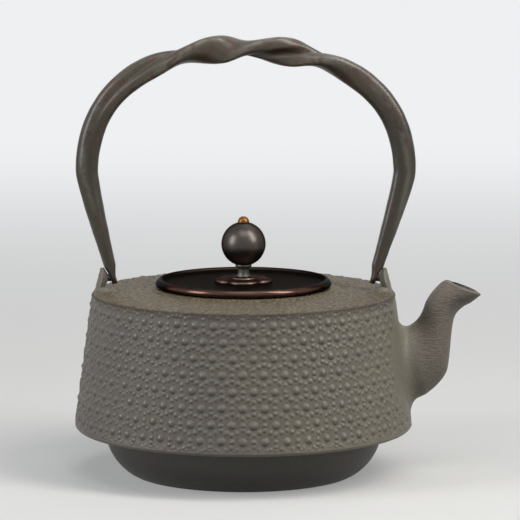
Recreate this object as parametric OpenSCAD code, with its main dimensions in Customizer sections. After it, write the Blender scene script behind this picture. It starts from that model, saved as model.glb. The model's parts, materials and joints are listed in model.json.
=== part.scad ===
// Cast iron water kettle: an overhanging drum on a smaller bowl, a beaked spout, a flat lid with a
// ball knob, and a bail handle that is twisted at its top and swings in two ears on the shoulder.
// Millimetres. The origin is the centre of the base, on the surface that the kettle stands on.
// +Z is up and +X points along the spout. The handle swings about an axis parallel to X.

/* [Bowl] */
// Radius of the foot, where the bowl leaves the surface it stands on
foot_r = 56.4; // [50:0.2:60]
// Radius of the bowl under the overhang
bowl_r = 69.5; // [66:0.5:74]
// Height of the overhang's underside, which is the height of the bowl that shows
bowl_h = 22.6; // [18:0.2:28]
// Width of the ring that the kettle stands on
foot_flat_w = 8; // [5:0.5:12]
// Depth of the recess inside that ring
foot_recess = 1.2; // [0.6:0.1:2]
// Radius of the casting gate's scar in the middle of the base, ground level with the ring
gate_r = 11; // [8:0.5:16]

/* [Drum] */
// Radius of the drum just above its lower lip
drum_lip_r = 84.8; // [82:0.2:92]
// Radius of the drum at the crease, where the shoulder begins
drum_crease_r = 75.9; // [72:0.1:79]
// Height of the drum from the overhang's underside to the crease
drum_h = 68.2; // [60:0.2:80]
// Rounding of the drum's lower lip
lip_round = 2.6; // [1.5:0.1:4]
// Rounding of the crease
crease_round = 1.6; // [0.8:0.1:2.5]
// Thickness of the iron
wall = 3.2; // [2.6:0.1:4.5]

/* [Shoulder and mouth] */
// Rise of the shoulder from the crease to the collar
shoulder_rise = 1.6; // [0.6:0.1:6]
// Radius of the mouth
mouth_r = 40; // [34:0.5:44]
// Width of the collar round the mouth
collar_w = 6; // [4.6:0.2:9]
// Height of the collar above the shoulder
collar_h = 1; // [0.5:0.1:3]

/* [Spout] */
// Height of the port in the drum wall above the overhang's underside
port_rise = 34.4; // [28:0.2:38]
// Radius of the port
port_r = 9; // [6:0.5:11]
// Reach of the spout's tip from the face of the drum at the port
spout_reach = 39.3; // [30:0.1:50]
// Rise of the spout's mouth above the port
spout_rise = 39.8; // [34:0.2:46]
// Thickness of the spout's wall
spout_wall = 2.8; // [2:0.1:3.4]

/* [Ears] */
// Distance of the ears' middle from the crease
ear_inset = 5.7; // [5:0.1:9]
// Height of the handle's axis above the crease
pivot_rise = 7.2; // [6.4:0.1:10]
// Height of an ear above the handle's axis
ear_top = 4.9; // [4.2:0.1:6]
// Half the breadth of an ear at its foot
ear_breadth = 9.5; // [8:0.25:12]
// Thickness of an ear at the handle's axis
ear_t = 5.6; // [5:0.1:6.2]

/* [Handle] */
// Height of the handle's middle line above its axis
handle_rise = 115; // [95:0.2:135]
// Reach of the handle's middle line from the centre on the spout's side, at its widest
handle_reach_right = 80.5; // [76:0.1:90]
// Reach of the handle's middle line on the other side; the bail is bent by hand and leans a little
handle_reach_left = 78.2; // [76:0.1:90]
// Share of the rise at which the handle is widest
handle_wide_at = 0.47; // [0.4:0.01:0.55]
// Width of the bar across the twist
bar_w = 14.4; // [11:0.1:16]
// Thickness of the bar
bar_t = 8; // [6.5:0.1:9]
// Width of a leg at the handle's axis
leg_foot_w = 2.9; // [2.4:0.1:3.4]
// Thickness of a leg at the handle's axis
leg_foot_t = 5.6; // [5:0.1:7]
// Length of a leg below the handle's axis
leg_drop = 2.4; // [2.2:0.1:2.8]
// Turns that the bar makes from one shoulder of the handle to the other
twist_turns = 1.5; // [0.5:0.5:2.5]
// Depth of the seam between the bar's two strands, as a share of its half thickness
seam_depth = 0.75; // [0:0.05:0.85]
// Radius of the pins at the handle's feet
handle_pin_r = 1.8; // [1.4:0.1:2]

/* [Lid] */
// Overlap of the lid past the mouth
lid_overlap = 4.1; // [2.5:0.1:5]
// Thickness of the lid's rounded rim
lid_rim_t = 4.2; // [3.4:0.1:5.5]
// Thickness of the lid inside its rim
lid_t = 2.9; // [2:0.1:3.2]
// Depth of the ring that centres the lid in the mouth
flange_h = 7; // [4:0.5:12]
// Thickness of that ring
flange_t = 1.8; // [1.2:0.1:3]

/* [Knob] */
// Radius of the rosette under the knob, over its petals' tips
seat_r = 14.7; // [12:0.1:16]
// Number of petals
petal_count = 5; // [4:1:8]
// Radius of a petal
petal_r = 8.1; // [7:0.1:9]
// Thickness of the rosette
seat_t = 1.5; // [1:0.1:2.5]
// Radius of the rosette's upper step
seat_step_r = 6.2; // [5:0.1:8]
// Height of the neck
neck_h = 6.6; // [4:0.2:10]
// Radius of the neck's upper flange
neck_r = 4.1; // [3.6:0.1:5]
// Radius of the ball
ball_r = 11.1; // [8:0.1:14]
// Radius of the bolt's domed head
bolt_head_r = 2.9; // [2.3:0.1:4]
// Radius of the bolt's shank
bolt_r = 1.5; // [1.2:0.1:2]

/* [Fits] */
// Gap between the handle's pins and the bores of the ears
pin_gap = 0.1; // [0.05:0.01:0.2]
// Gap between the handle's legs and the ears
leg_gap = 0.3; // [0.25:0.05:0.6]
// Gap between the lid's ring and the mouth
lid_gap = 0.6; // [0.3:0.1:1.2]
// Gap between the bolt and the pieces that it passes through
bolt_gap = 0.1; // [0.05:0.01:0.2]
// Gap at the seam between the drum and what is cast on it
seam_gap = 0.03; // [0.01:0.01:0.1]

/* [Hidden] */

iron = "#57504a";
bowl_iron = "#45423a";
patina = "#2e201d";
dark_bronze = "#33302e";
grey_bronze = "#5d625a";
brass = "#b98a45";

round_fn = 96;
small_fn = 48;

// Heights and radii that follow from the sizes above
crease_z = bowl_h + drum_h;
collar_top_z = crease_z + shoulder_rise + collar_h;
collar_r = mouth_r + collar_w;
drum_taper = (drum_lip_r - drum_crease_r) / (drum_h - lip_round);
drum_lean = atan(drum_taper);
shoulder_slope = shoulder_rise / (drum_crease_r - collar_r);
shoulder_lean = atan(shoulder_slope);
function drum_r(z) = drum_crease_r + (crease_z - z) * drum_taper;
function shoulder_z(r) = crease_z + (drum_crease_r - r) * shoulder_slope;

// ---- Helpers -------------------------------------------------------------------------------

// Points of the arc that rounds a profile's corner, between faces with outward normals a1 and a2
function corner(p, a1, a2, r, steps = 6) =
    let (n1 = [cos(a1), sin(a1)], n2 = [cos(a2), sin(a2)], c = p - r * (n1 + n2) / (1 + n1 * n2))
    [for (i = [0:steps]) let (a = a1 + (a2 - a1) * i / steps) c + r * [cos(a), sin(a)]];

// Row of numbers at place t along a list of rows, on a smooth curve through all of them
function smooth_row(rows, t) =
    let (
        last = len(rows) - 1,
        i = min(floor(t), last - 1),
        u = t - i,
        a = rows[max(i - 1, 0)], b = rows[i], c = rows[i + 1], d = rows[min(i + 2, last)]
    )
    0.5 * (2 * b + (c - a) * u + (2 * a - 5 * b + 4 * c - d) * u * u + (3 * b - a - 3 * c + d) * u * u * u);

// Place of a key value in the first column of a list of rows
function row_place(rows, key) =
    lookup(key, [for (i = [0:len(rows) - 1]) [rows[i][0], i]]);

// Smooth step from 0 to 1
function ease(u) = let (v = min(max(u, 0), 1)) v * v * (3 - 2 * v);

// Point of a cubic curve with four control points
function cubic(p, t) =
    pow(1 - t, 3) * p[0] + 3 * pow(1 - t, 2) * t * p[1] + 3 * (1 - t) * t * t * p[2] + pow(t, 3) * p[3];

function flatten(list) = [for (part = list) each part];

// Side faces between successive rings of points, each ring having the same number of sides
function side_faces(rings, sides, first = 0, turn = false) =
    [for (i = [0:rings - 2], j = [0:sides - 1])
        let (
            a = first + i * sides + j, b = first + i * sides + (j + 1) % sides,
            quad = [a, b, b + sides, a + sides]
        )
        for (tri = [[quad[0], quad[1], quad[2]], [quad[0], quad[2], quad[3]]])
            turn ? [tri[2], tri[1], tri[0]] : tri];

// ---- Kettle body ---------------------------------------------------------------------------

floor_t = wall + 0.8;
bowl_steps = 9;
bowl_power = 0.74;

// Bowl curve from its foot radius to its top radius, over heights z0 to z1
function bowl_curve(r0, r1, z0, z1) =
    [for (i = [0:bowl_steps]) let (u = pow(i / bowl_steps, 1.3))
        [r0 + (r1 - r0) * sin(90 * pow(u, bowl_power)), z0 + (z1 - z0) * u]];

module kettle_profile() {
    inner_lip_z = bowl_h + wall;
    shoulder_under_z = shoulder_z(collar_r) - wall;
    inner_taper_r = wall / cos(drum_lean);
    inner_crease_z = crease_z - wall;
    outer = concat(
        [[0, 0], [gate_r, 0], [gate_r + foot_recess, foot_recess],
            [foot_r - foot_flat_w - foot_recess, foot_recess], [foot_r - foot_flat_w, 0], [foot_r - 0.8, 0]],
        bowl_curve(foot_r, bowl_r, 0.4, bowl_h),
        corner([drum_r(bowl_h), bowl_h], -90, drum_lean, lip_round),
        corner([drum_crease_r, crease_z], drum_lean, 90 - shoulder_lean, crease_round),
        [[collar_r, shoulder_z(collar_r)]],
        corner([collar_r, collar_top_z], 0, 90, min(0.6, collar_h / 2), 3)
    );
    inner = concat(
        [[mouth_r, collar_top_z], [mouth_r, shoulder_under_z]],
        corner([drum_r(inner_crease_z) - inner_taper_r, inner_crease_z], 90 - shoulder_lean, drum_lean, 3, 4),
        [[drum_r(inner_lip_z) - inner_taper_r, inner_lip_z]],
        [for (i = [bowl_steps:-1:0]) bowl_curve(foot_r - wall - 3, bowl_r - wall, floor_t, inner_lip_z)[i]],
        [[0, floor_t]]
    );
    polygon(concat(outer, inner));
}

module kettle_body() {
    port_z = bowl_h + port_rise;
    color(iron)
    difference() {
        rotate_extrude($fn = 180) kettle_profile();
        translate([drum_crease_r / 2, 0, port_z])
            rotate([0, 90, 0])
                cylinder(r = port_r, h = drum_lip_r, $fn = small_fn);
    }
}

// ---- Spout ---------------------------------------------------------------------------------

// Sections from the drum to the tip: reach and rise of the upper edge, reach and rise of the lower
// edge, as shares of the spout's reach and rise, and the half breadth in millimetres
spout_sections = [
    [-0.05, 0.38, 0.09, -0.61, 15.0],
    [0.05, 0.41, 0.25, -0.48, 13.3],
    [0.14, 0.47, 0.42, -0.34, 11.7],
    [0.20, 0.54, 0.54, -0.18, 10.7],
    [0.24, 0.62, 0.58, 0.02, 10.0],
    [0.28, 0.73, 0.61, 0.35, 9.3],
    [0.35, 0.84, 0.65, 0.55, 8.8],
    [0.43, 0.93, 0.75, 0.66, 8.5],
    [0.49, 0.98, 0.86, 0.72, 8.3],
    [0.54, 1.00, 1.00, 0.83, 8.0]
];
spout_rings = 25;
spout_sides = 28;
spout_beak = 0.3;

// Point at angle a of the ring at share u of the spout's length, moved in by a thickness
function spout_point(u, a, inward) =
    let (
        port_z = bowl_h + port_rise,
        row = smooth_row(spout_sections, u * (len(spout_sections) - 1)),
        upper = [row[0] * spout_reach, row[1] * spout_rise],
        lower = [row[2] * spout_reach, row[3] * spout_rise],
        half = norm(upper - lower) / 2,
        to_port = inward > 0 ? 1 - ease(u * 2.2) : 0,
        middle = (1 - to_port) * (upper + lower) / 2,
        half_h = (half - inward) * (1 - to_port) + port_r * to_port,
        half_w = (row[4] - inward) * (1 - to_port) + port_r * to_port,
        along = (upper - lower) / (2 * half),
        beak = 1 - spout_beak * ease(u * 3 - 2) * pow(max(-sin(a), 0), 3),
        p = middle + half_h * sin(a) * along,
        y = half_w * cos(a) * beak,
        z = port_z + p[1],
        on_drum = sqrt(pow(drum_r(z) + seam_gap, 2) - y * y),
        keep = ease(u * 7)
    )
    [on_drum * (1 - keep) + (drum_r(port_z) + p[0]) * keep, y, z];

module spout() {
    function ring(i, inward) =
        [for (j = [0:spout_sides - 1]) spout_point(i / (spout_rings - 1), 360 * j / spout_sides, inward)];
    outer = flatten([for (i = [0:spout_rings - 1]) ring(i, 0)]);
    inner = flatten([for (i = [0:spout_rings - 1]) ring(i, spout_wall)]);
    count = len(outer);
    tip = (spout_rings - 1) * spout_sides;
    ends = [for (j = [0:spout_sides - 1])
        let (k = (j + 1) % spout_sides)
        for (tri = [
            [k + count, j + count, j], [k, k + count, j],
            [tip + j + count, tip + k + count, tip + k], [tip + j, tip + j + count, tip + k]
        ]) tri];
    color(iron)
    polyhedron(
        points = concat(outer, inner),
        faces = concat(
            side_faces(spout_rings, spout_sides, 0, true),
            side_faces(spout_rings, spout_sides, count),
            ends
        )
    );
}

// ---- Ears ----------------------------------------------------------------------------------

ear_x = drum_crease_r - ear_inset;
pivot_z = crease_z + pivot_rise;
// Inner face of an ear at the handle's axis
ear_face_x = ear_x - 0.5 - ear_t / 2;
// Slope of the hollow in an ear's inner face, which clears the leaning leg as it swings
ear_hollow_slope = 0.6;

// Levels of an ear: share of its height, offset of its middle, half thickness as a share of ear_t,
// and half breadth as a share of ear_breadth
ear_levels = [
    [0.00, 0.00, 0.89, 1.00],
    [0.10, -0.25, 0.79, 0.90],
    [0.34, -0.38, 0.70, 0.76],
    [0.58, -0.28, 0.54, 0.62],
    [0.72, -0.02, 0.43, 0.54],
    [0.85, 0.10, 0.31, 0.45],
    [0.95, 0.40, 0.23, 0.33],
    [1.00, 0.45, 0.13, 0.18]
];
ear_rings = 13;
ear_sides = 24;

function ear_point(i, j) =
    let (
        u = i / (ear_rings - 1),
        row = smooth_row(ear_levels, u * (len(ear_levels) - 1)),
        a = 360 * j / ear_sides,
        x = ear_x + row[1] + row[2] * ear_t * sign(cos(a)) * pow(abs(cos(a)), 0.85),
        y = row[3] * ear_breadth * sign(sin(a)) * pow(abs(sin(a)), 0.85),
        seat_z = shoulder_z(min(norm([x, y]), drum_crease_r)) + seam_gap,
        top_z = pivot_z + ear_top
    )
    [x, y, seat_z + (top_z - seat_z) * row[0]];

// What the leg sweeps as the handle swings: all that lies inward of a cone about the handle's axis,
// down to just under a leg that lies level
module ear_hollow() {
    hollow_r = 14;
    hollow_floor = leg_foot_t / 2 + 1.2;
    cone_h = hollow_r * ear_hollow_slope;
    intersection() {
        translate([ear_face_x, 0, pivot_z])
            rotate([0, 90, 0])
                difference() {
                    translate([0, 0, -hollow_r]) cylinder(r = hollow_r, h = hollow_r + cone_h, $fn = small_fn);
                    cylinder(r1 = 0, r2 = hollow_r, h = cone_h, $fn = small_fn);
                }
        translate([ear_face_x - 2 * hollow_r, -hollow_r, pivot_z - hollow_floor])
            cube([4 * hollow_r, 2 * hollow_r, 2 * hollow_r]);
    }
}

module ear() {
    points = flatten([for (i = [0:ear_rings - 1]) [for (j = [0:ear_sides - 1]) ear_point(i, j)]]);
    last = (ear_rings - 1) * ear_sides;
    difference() {
        polyhedron(
            points = points,
            faces = concat(
                [[for (j = [0:ear_sides - 1]) j]],
                side_faces(ear_rings, ear_sides, 0, true),
                [[for (j = [ear_sides - 1:-1:0]) last + j]]
            )
        );
        ear_hollow();
        translate([ear_face_x - wall, 0, pivot_z])
            rotate([0, 90, 0])
                cylinder(r = handle_pin_r + pin_gap, h = 2 * drum_crease_r, $fn = small_fn);
    }
}

module ear_right() {
    color(iron) ear();
}

module ear_left() {
    color(iron) mirror([1, 0, 0]) ear();
}

// ---- Handle --------------------------------------------------------------------------------

leg_foot_x = ear_face_x - leg_gap - leg_foot_w / 2;
handle_wide_z = pivot_z + handle_rise * handle_wide_at;
crown_z = pivot_z + handle_rise;
foot_lean = 0.3;
curve_steps = 36;

// Half of the middle line, as [x, z] points: from the crown out to its reach, then in to the foot
function half_line(reach) =
    let (
        out = [reach, handle_wide_z],
        crown = [
            [0, crown_z], [reach * 0.51, crown_z],
            [reach, handle_wide_z + (crown_z - handle_wide_z) * 0.73], out
        ],
        foot_end = [leg_foot_x - foot_lean * leg_drop, pivot_z - leg_drop],
        foot_pull = handle_rise * 0.1,
        leg = [
            out, [reach, handle_wide_z - handle_rise * 0.05],
            foot_end + foot_pull * [foot_lean, 1], foot_end
        ]
    )
    concat(
        [for (i = [0:curve_steps - 1]) cubic(crown, i / curve_steps)],
        [for (i = [0:curve_steps]) cubic(leg, i / curve_steps)]
    );

// Running lengths along a list of points
function add_lengths(points, i = 1, total = 0) =
    i >= len(points) ? []
    : let (next = total + norm(points[i] - points[i - 1])) concat([next], add_lengths(points, i + 1, next));

right_line = half_line(handle_reach_right);
left_line = half_line(handle_reach_left);
right_lengths = concat([0], add_lengths(right_line));
left_lengths = concat([0], add_lengths(left_line));
right_length = right_lengths[2 * curve_steps];
left_length = left_lengths[2 * curve_steps];
right_x = [for (i = [0:2 * curve_steps]) [right_lengths[i], right_line[i][0]]];
right_z = [for (i = [0:2 * curve_steps]) [right_lengths[i], right_line[i][1]]];
left_x = [for (i = [0:2 * curve_steps]) [left_lengths[i], left_line[i][0]]];
left_z = [for (i = [0:2 * curve_steps]) [left_lengths[i], left_line[i][1]]];

// Length of the half of the middle line that place u is on; u is -1 at the left foot, 0 at the
// crown and 1 at the right foot
function half_length(u) = u < 0 ? left_length : right_length;
function line_point(u) =
    u < 0
    ? [-lookup(-u * left_length, left_x), lookup(-u * left_length, left_z)]
    : [lookup(u * right_length, right_x), lookup(u * right_length, right_z)];
function line_tangent(u) =
    let (step = 0.012, d = line_point(min(u + step, 1)) - line_point(max(u - step, -1)))
    d / norm(d);

// Turn of the bar: places along the handle and shares of half its twist. At 0 the bar's first
// strand faces -Y, and a quarter turn further it faces out of the loop.
twist_rows = [
    [-0.50, -1.00], [-0.37, -1.00], [-0.28, -0.87], [-0.20, -0.67], [-0.07, -0.33], [0.005, 0.00],
    [0.12, 0.33], [0.22, 0.67], [0.30, 0.87], [0.39, 1.00], [0.50, 1.00]
];
function twist_angle(u) =
    180 * twist_turns * smooth_row(twist_rows, row_place(twist_rows, min(max(u, -0.45), 0.45)))[1];

// Width of the bar: places along a half and shares of bar_w
width_rows = [
    [0.00, 0.94], [0.14, 1.00], [0.28, 0.90], [0.40, 0.83], [0.56, 0.815], [0.655, 0.775], [0.75, 0.68],
    [0.84, 0.555], [0.89, 0.485], [0.94, 0.43]
];
foot_taper = 8;
function from_foot(u) = (1 - abs(u)) * half_length(u);
function bar_width(u) =
    let (
        bar = bar_w * smooth_row(width_rows, row_place(width_rows, min(abs(u), 0.94)))[1],
        foot = ease((from_foot(u) - leg_drop) / foot_taper)
    )
    leg_foot_w + (bar - leg_foot_w) * foot;

// Thickness of the bar, rounded at its feet
foot_thins_over = 40;
end_round = 3.4;
function bar_thickness(u) =
    let (
        e = from_foot(u),
        full = leg_foot_t + (bar_t - leg_foot_t) * ease((e - leg_drop) / foot_thins_over)
    )
    full * (e < end_round ? sqrt(max(1 - pow(1 - e / end_round, 2), 0.03)) : 1);

// Depth of the seam on the face that holds it: deepest in the right half of the twist
function seam_at(u) =
    seam_depth * (0.3 + 0.7 * ease((u + 0.05) / 0.1) * (1 - ease((u - 0.16) / 0.08)))
        * ease(from_foot(u) / 25);

handle_sides = 20;
twist_half = 0.42;
twist_steps = 26;
leg_steps = 16;
end_steps = 4;

// Places of the rings: close together in the twist and at the rounded feet
function half_places(length) =
    let (leg_end = 1 - end_round / length)
    concat(
        [for (i = [0:twist_steps - 1]) twist_half * i / twist_steps],
        [for (i = [0:leg_steps - 1]) twist_half + (leg_end - twist_half) * i / leg_steps],
        [for (i = [0:end_steps]) 1 - end_round / length * (1 - sin(80 * i / end_steps))]
    );
right_places = half_places(right_length);
left_places = half_places(left_length);
places = concat([for (i = [len(left_places) - 1:-1:1]) -left_places[i]], right_places);

function handle_point(u, j) =
    let (
        p = line_point(u),
        t = line_tangent(u),
        out = [-t[1], t[0]],
        turn = twist_angle(u),
        a = 360 * j / handle_sides,
        seam = sin(a) < 0 ? seam_at(u) : 0,
        across = bar_width(u) / 2 * cos(a),
        deep = bar_thickness(u) / 2 * sign(sin(a)) * pow(abs(sin(a)), 0.8)
            * (1 - seam * exp(-pow(cos(a) / 0.28, 2))),
        outward = across * sin(turn) + deep * cos(turn),
        forward = across * cos(turn) - deep * sin(turn)
    )
    [p[0] + out[0] * outward, -forward, p[1] + out[1] * outward];

module handle() {
    points = flatten([for (u = places) [for (j = [0:handle_sides - 1]) handle_point(u, j)]]);
    last = (len(places) - 1) * handle_sides;
    pin_end_x = ear_face_x + ear_t - 0.5;
    color(iron)
    union() {
        polyhedron(
            points = points,
            faces = concat(
                [[for (j = [handle_sides - 1:-1:0]) j]],
                side_faces(len(places), handle_sides),
                [[for (j = [0:handle_sides - 1]) last + j]]
            )
        );
        for (side = [0, 1])
            mirror([side, 0, 0])
                translate([leg_foot_x, 0, pivot_z])
                    rotate([0, 90, 0])
                        cylinder(r = handle_pin_r, h = pin_end_x - leg_foot_x, $fn = small_fn);
    }
}

// ---- Lid -----------------------------------------------------------------------------------

lid_r = mouth_r + lid_overlap;
lid_top_z = collar_top_z + lid_t;
seat_top_z = lid_top_z + seat_t;
step_t = 0.7;
neck_z = seat_top_z + step_t;
ball_z = neck_z + neck_h - 1.1 + ball_r;
bolt_hole_r = bolt_r + bolt_gap;
washer_r = 5;
washer_t = 1;
nut_af = 5.5;
nut_t = 2.4;
bolt_tail = 1;

module lid_plate() {
    rim_c = lid_r - lid_rim_t / 2;
    rim_z = collar_top_z + lid_rim_t / 2;
    color(patina)
    difference() {
        rotate_extrude($fn = round_fn)
            union() {
                translate([0, collar_top_z]) square([rim_c, lid_t]);
                intersection() {
                    translate([rim_c, rim_z]) circle(r = lid_rim_t / 2, $fn = small_fn);
                    translate([rim_c - lid_rim_t, collar_top_z]) square([2 * lid_rim_t, lid_rim_t]);
                }
            }
        translate([0, 0, collar_top_z - 1])
            cylinder(r = bolt_hole_r, h = lid_rim_t + 2, $fn = small_fn);
    }
}

module lid_flange() {
    flange_r = mouth_r - lid_gap;
    color(patina)
    translate([0, 0, collar_top_z - flange_h])
        difference() {
            cylinder(r = flange_r, h = flange_h, $fn = round_fn);
            translate([0, 0, -1]) cylinder(r = flange_r - flange_t, h = flange_h + 2, $fn = round_fn);
        }
}

// Outline of the rosette: round petals side by side, drawn in by an inset
module petals(inset) {
    for (i = [0 : petal_count - 1])
        rotate([0, 0, 360 * i / petal_count - 90])
            translate([seat_r - petal_r, 0])
                circle(r = petal_r - inset, $fn = round_fn);
}

module knob_seat() {
    bevel = seat_t * 0.3;
    color(patina)
    translate([0, 0, lid_top_z])
        difference() {
            union() {
                linear_extrude(height = seat_t - bevel) petals(0);
                linear_extrude(height = seat_t) petals(bevel);
                cylinder(r = seat_step_r, h = seat_t + step_t, $fn = round_fn);
            }
            translate([0, 0, -seat_t])
                cylinder(r = bolt_hole_r, h = 3 * seat_t + step_t, $fn = small_fn);
        }
}

module knob_neck() {
    neck_foot_r = neck_r * 0.8;
    neck_waist_r = neck_r * 0.7;
    flange_lip = neck_h * 0.2;
    color(grey_bronze)
    translate([0, 0, neck_z])
        rotate_extrude($fn = small_fn)
            polygon([
                [bolt_hole_r, 0], [neck_foot_r, 0], [neck_foot_r, neck_h * 0.1],
                [neck_waist_r, neck_h * 0.35], [neck_waist_r, neck_h * 0.62],
                [neck_r, neck_h - flange_lip], [neck_r, neck_h - flange_lip / 3],
                [neck_r - flange_lip / 3, neck_h], [bolt_hole_r, neck_h]
            ]);
}

module knob_ball() {
    ball_foot_z = neck_z + neck_h;
    color(dark_bronze)
    difference() {
        translate([0, 0, ball_z]) sphere(r = ball_r, $fn = round_fn);
        translate([0, 0, ball_foot_z - ball_r])
            cylinder(r = ball_r, h = ball_r, $fn = small_fn);
        translate([0, 0, bolt_head_z])
            cylinder(r = ball_r, h = ball_r, $fn = small_fn);
        translate([0, 0, ball_foot_z - ball_r])
            cylinder(r = bolt_hole_r, h = 3 * ball_r, $fn = small_fn);
    }
}

// Height of the small flat on the ball that the bolt's head sits on
bolt_head_z = ball_z + sqrt(ball_r * ball_r - bolt_head_r * bolt_head_r);

module knob_bolt() {
    tail_z = collar_top_z - washer_t - nut_t - bolt_tail;
    head_h = bolt_head_r * 1.1;
    color(brass)
    union() {
        translate([0, 0, bolt_head_z])
            rotate_extrude($fn = small_fn)
                intersection() {
                    translate([0, head_h - bolt_head_r]) circle(r = bolt_head_r, $fn = small_fn);
                    square([bolt_head_r, head_h]);
                }
        translate([0, 0, tail_z])
            cylinder(r = bolt_r, h = bolt_head_z + head_h / 2 - tail_z, $fn = small_fn);
    }
}

module lid_washer() {
    color(brass)
    translate([0, 0, collar_top_z - washer_t])
        difference() {
            cylinder(r = washer_r, h = washer_t, $fn = small_fn);
            translate([0, 0, -1]) cylinder(r = bolt_hole_r, h = washer_t + 2, $fn = small_fn);
        }
}

module lid_nut() {
    color(brass)
    translate([0, 0, collar_top_z - washer_t - nut_t])
        difference() {
            cylinder(r = nut_af / 2 / cos(30), h = nut_t, $fn = 6);
            translate([0, 0, -1]) cylinder(r = bolt_hole_r, h = nut_t + 2, $fn = small_fn);
        }
}

kettle_body();
spout();
ear_left();
ear_right();
handle();
lid_plate();
lid_flange();
knob_seat();
knob_neck();
knob_ball();
knob_bolt();
lid_washer();
lid_nut();
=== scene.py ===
"""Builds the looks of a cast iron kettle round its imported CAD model: a hailstone drum, a beaked spout,
a bail handle twisted at its top, a patinated lid with a ball knob, and a plain studio."""

import json
import math

import bmesh
import bpy
import numpy as np
from bpy.props import FloatProperty, FloatVectorProperty, IntProperty, PointerProperty
from mathutils import Matrix, Vector, noise


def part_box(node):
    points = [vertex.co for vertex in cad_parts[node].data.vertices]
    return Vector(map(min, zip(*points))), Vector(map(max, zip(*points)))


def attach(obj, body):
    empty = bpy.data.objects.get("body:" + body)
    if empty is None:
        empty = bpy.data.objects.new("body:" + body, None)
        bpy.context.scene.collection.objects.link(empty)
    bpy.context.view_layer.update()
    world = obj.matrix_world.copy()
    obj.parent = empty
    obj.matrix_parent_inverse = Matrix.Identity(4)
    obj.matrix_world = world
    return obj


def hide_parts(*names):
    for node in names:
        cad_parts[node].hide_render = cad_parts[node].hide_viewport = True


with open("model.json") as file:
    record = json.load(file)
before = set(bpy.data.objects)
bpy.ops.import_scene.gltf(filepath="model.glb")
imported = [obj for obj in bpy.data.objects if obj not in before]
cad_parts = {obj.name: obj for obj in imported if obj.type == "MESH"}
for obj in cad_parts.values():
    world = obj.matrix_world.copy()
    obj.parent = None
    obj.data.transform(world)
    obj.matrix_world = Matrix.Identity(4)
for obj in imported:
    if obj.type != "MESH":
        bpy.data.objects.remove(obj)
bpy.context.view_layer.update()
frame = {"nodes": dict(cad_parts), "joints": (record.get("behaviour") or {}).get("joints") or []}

bl_info = {
    "name": "Cast Iron Kettle",
    "version": (1, 0, 0),
    "blender": (4, 5, 0),
    "location": "View3D > Sidebar > Kettle",
    "description": "Builds a hailstone iron kettle with a twisted bail and a ball knob",
    "category": "Add Mesh",
}

MM = 0.001
MERGED = 0.002 * MM
TURN = 2 * math.pi
BODY_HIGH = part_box("kettle_body")[1]
PLATE_LOW, PLATE_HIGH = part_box("lid_plate")
SEAT_LOW, SEAT_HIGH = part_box("knob_seat")
NECK_LOW, NECK_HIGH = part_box("knob_neck")
BALL_LOW, BALL_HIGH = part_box("knob_ball")
BOLT_LOW, BOLT_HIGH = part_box("knob_bolt")
PIVOT_Z = next(joint["pos_m"][2] for joint in frame["joints"] if joint["name"] == "handle_swing")


# ---- Sizes and colours that a user would change ----


def length(name, description, default):
    """A length whose default is given in millimetres."""
    return FloatProperty(name=name, description=description, default=default * MM, unit="LENGTH", precision=4)


def colour(name, description, default):
    """A colour, as linear red, green and blue."""
    return FloatVectorProperty(
        name=name, description=description, default=default, subtype="COLOR", size=3, min=0, max=1
    )


class KettlePotSizes(bpy.types.PropertyGroup):
    """Sizes of the pot: its bowl, drum, shoulder and mouth."""

    foot_r: length("Foot radius", "Radius of the foot", 56.4)
    foot_flat: length("Foot ring", "Width of the ring that the kettle stands on", 8)
    foot_recess: length("Base recess", "Depth of the recess inside the foot ring", 1.2)
    gate_r: length("Gate scar", "Radius of the casting gate's scar in the base", 11)
    bowl_r: length("Bowl radius", "Radius of the bowl under the overhang", 69.5)
    bowl_h: length("Bowl height", "Height of the overhang's underside", 22.6)
    lip_r: length("Lip radius", "Radius of the drum just above its lower lip", 84.8)
    lip_round: length("Lip rounding", "Rounding of the drum's lower lip", 2.6)
    crease_r: length("Crease radius", "Radius at which the shoulder begins", 75.9)
    crease_round: length("Crease rounding", "Rounding of the crease", 1.6)
    shoulder_rise: length("Shoulder rise", "Rise of the shoulder to the collar", 1.6)
    collar_h: length("Collar height", "Height of the collar above the shoulder", 1.0)
    collar_w: length("Collar width", "Width of the collar round the mouth", 6)
    mouth_r: length("Mouth radius", "Radius of the mouth", 40)
    wall: length("Wall", "Thickness of the iron", 3.2)


class KettleHailSizes(bpy.types.PropertyGroup):
    """Sizes of the hailstone pattern on the drum."""

    count: IntProperty(name="Stones in a row", description="Large stones in one row", default=51, min=12)
    rows: IntProperty(name="Rows", description="Rows of large stones", default=8, min=1)
    phase: FloatProperty(name="Phase", description="Place of the first stone, in stones", default=0.69)
    drift: FloatProperty(name="Drift", description="Hand-set drift of the rows, in stones", default=0.18)
    pitch: length("Row pitch", "Height between the rows", 7.87)
    top_drop: length("Top row", "Drop of the top row below the crease", 5.7)
    stone_r: length("Stone radius", "Radius of a large stone", 2.35)
    stone_h: length("Stone height", "Height of a large stone above its hollow", 1.08)
    bead_r: length("Bead radius", "Radius of a small bead", 1.55)
    bead_h: length("Bead height", "Height of a small bead", 0.74)
    sink: length("Sink", "Depth of the cells' edges below the drum's lip", 0.45)
    hollow: length("Hollow", "Depth of a cell's floor below the cells' edges", 0.22)
    lip_beads: IntProperty(name="Lip beads", description="Beads in the band at the lip", default=136, min=12)
    smooth_r: length("Smooth zone", "Radius round the spout's root without hailstones", 28)


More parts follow.
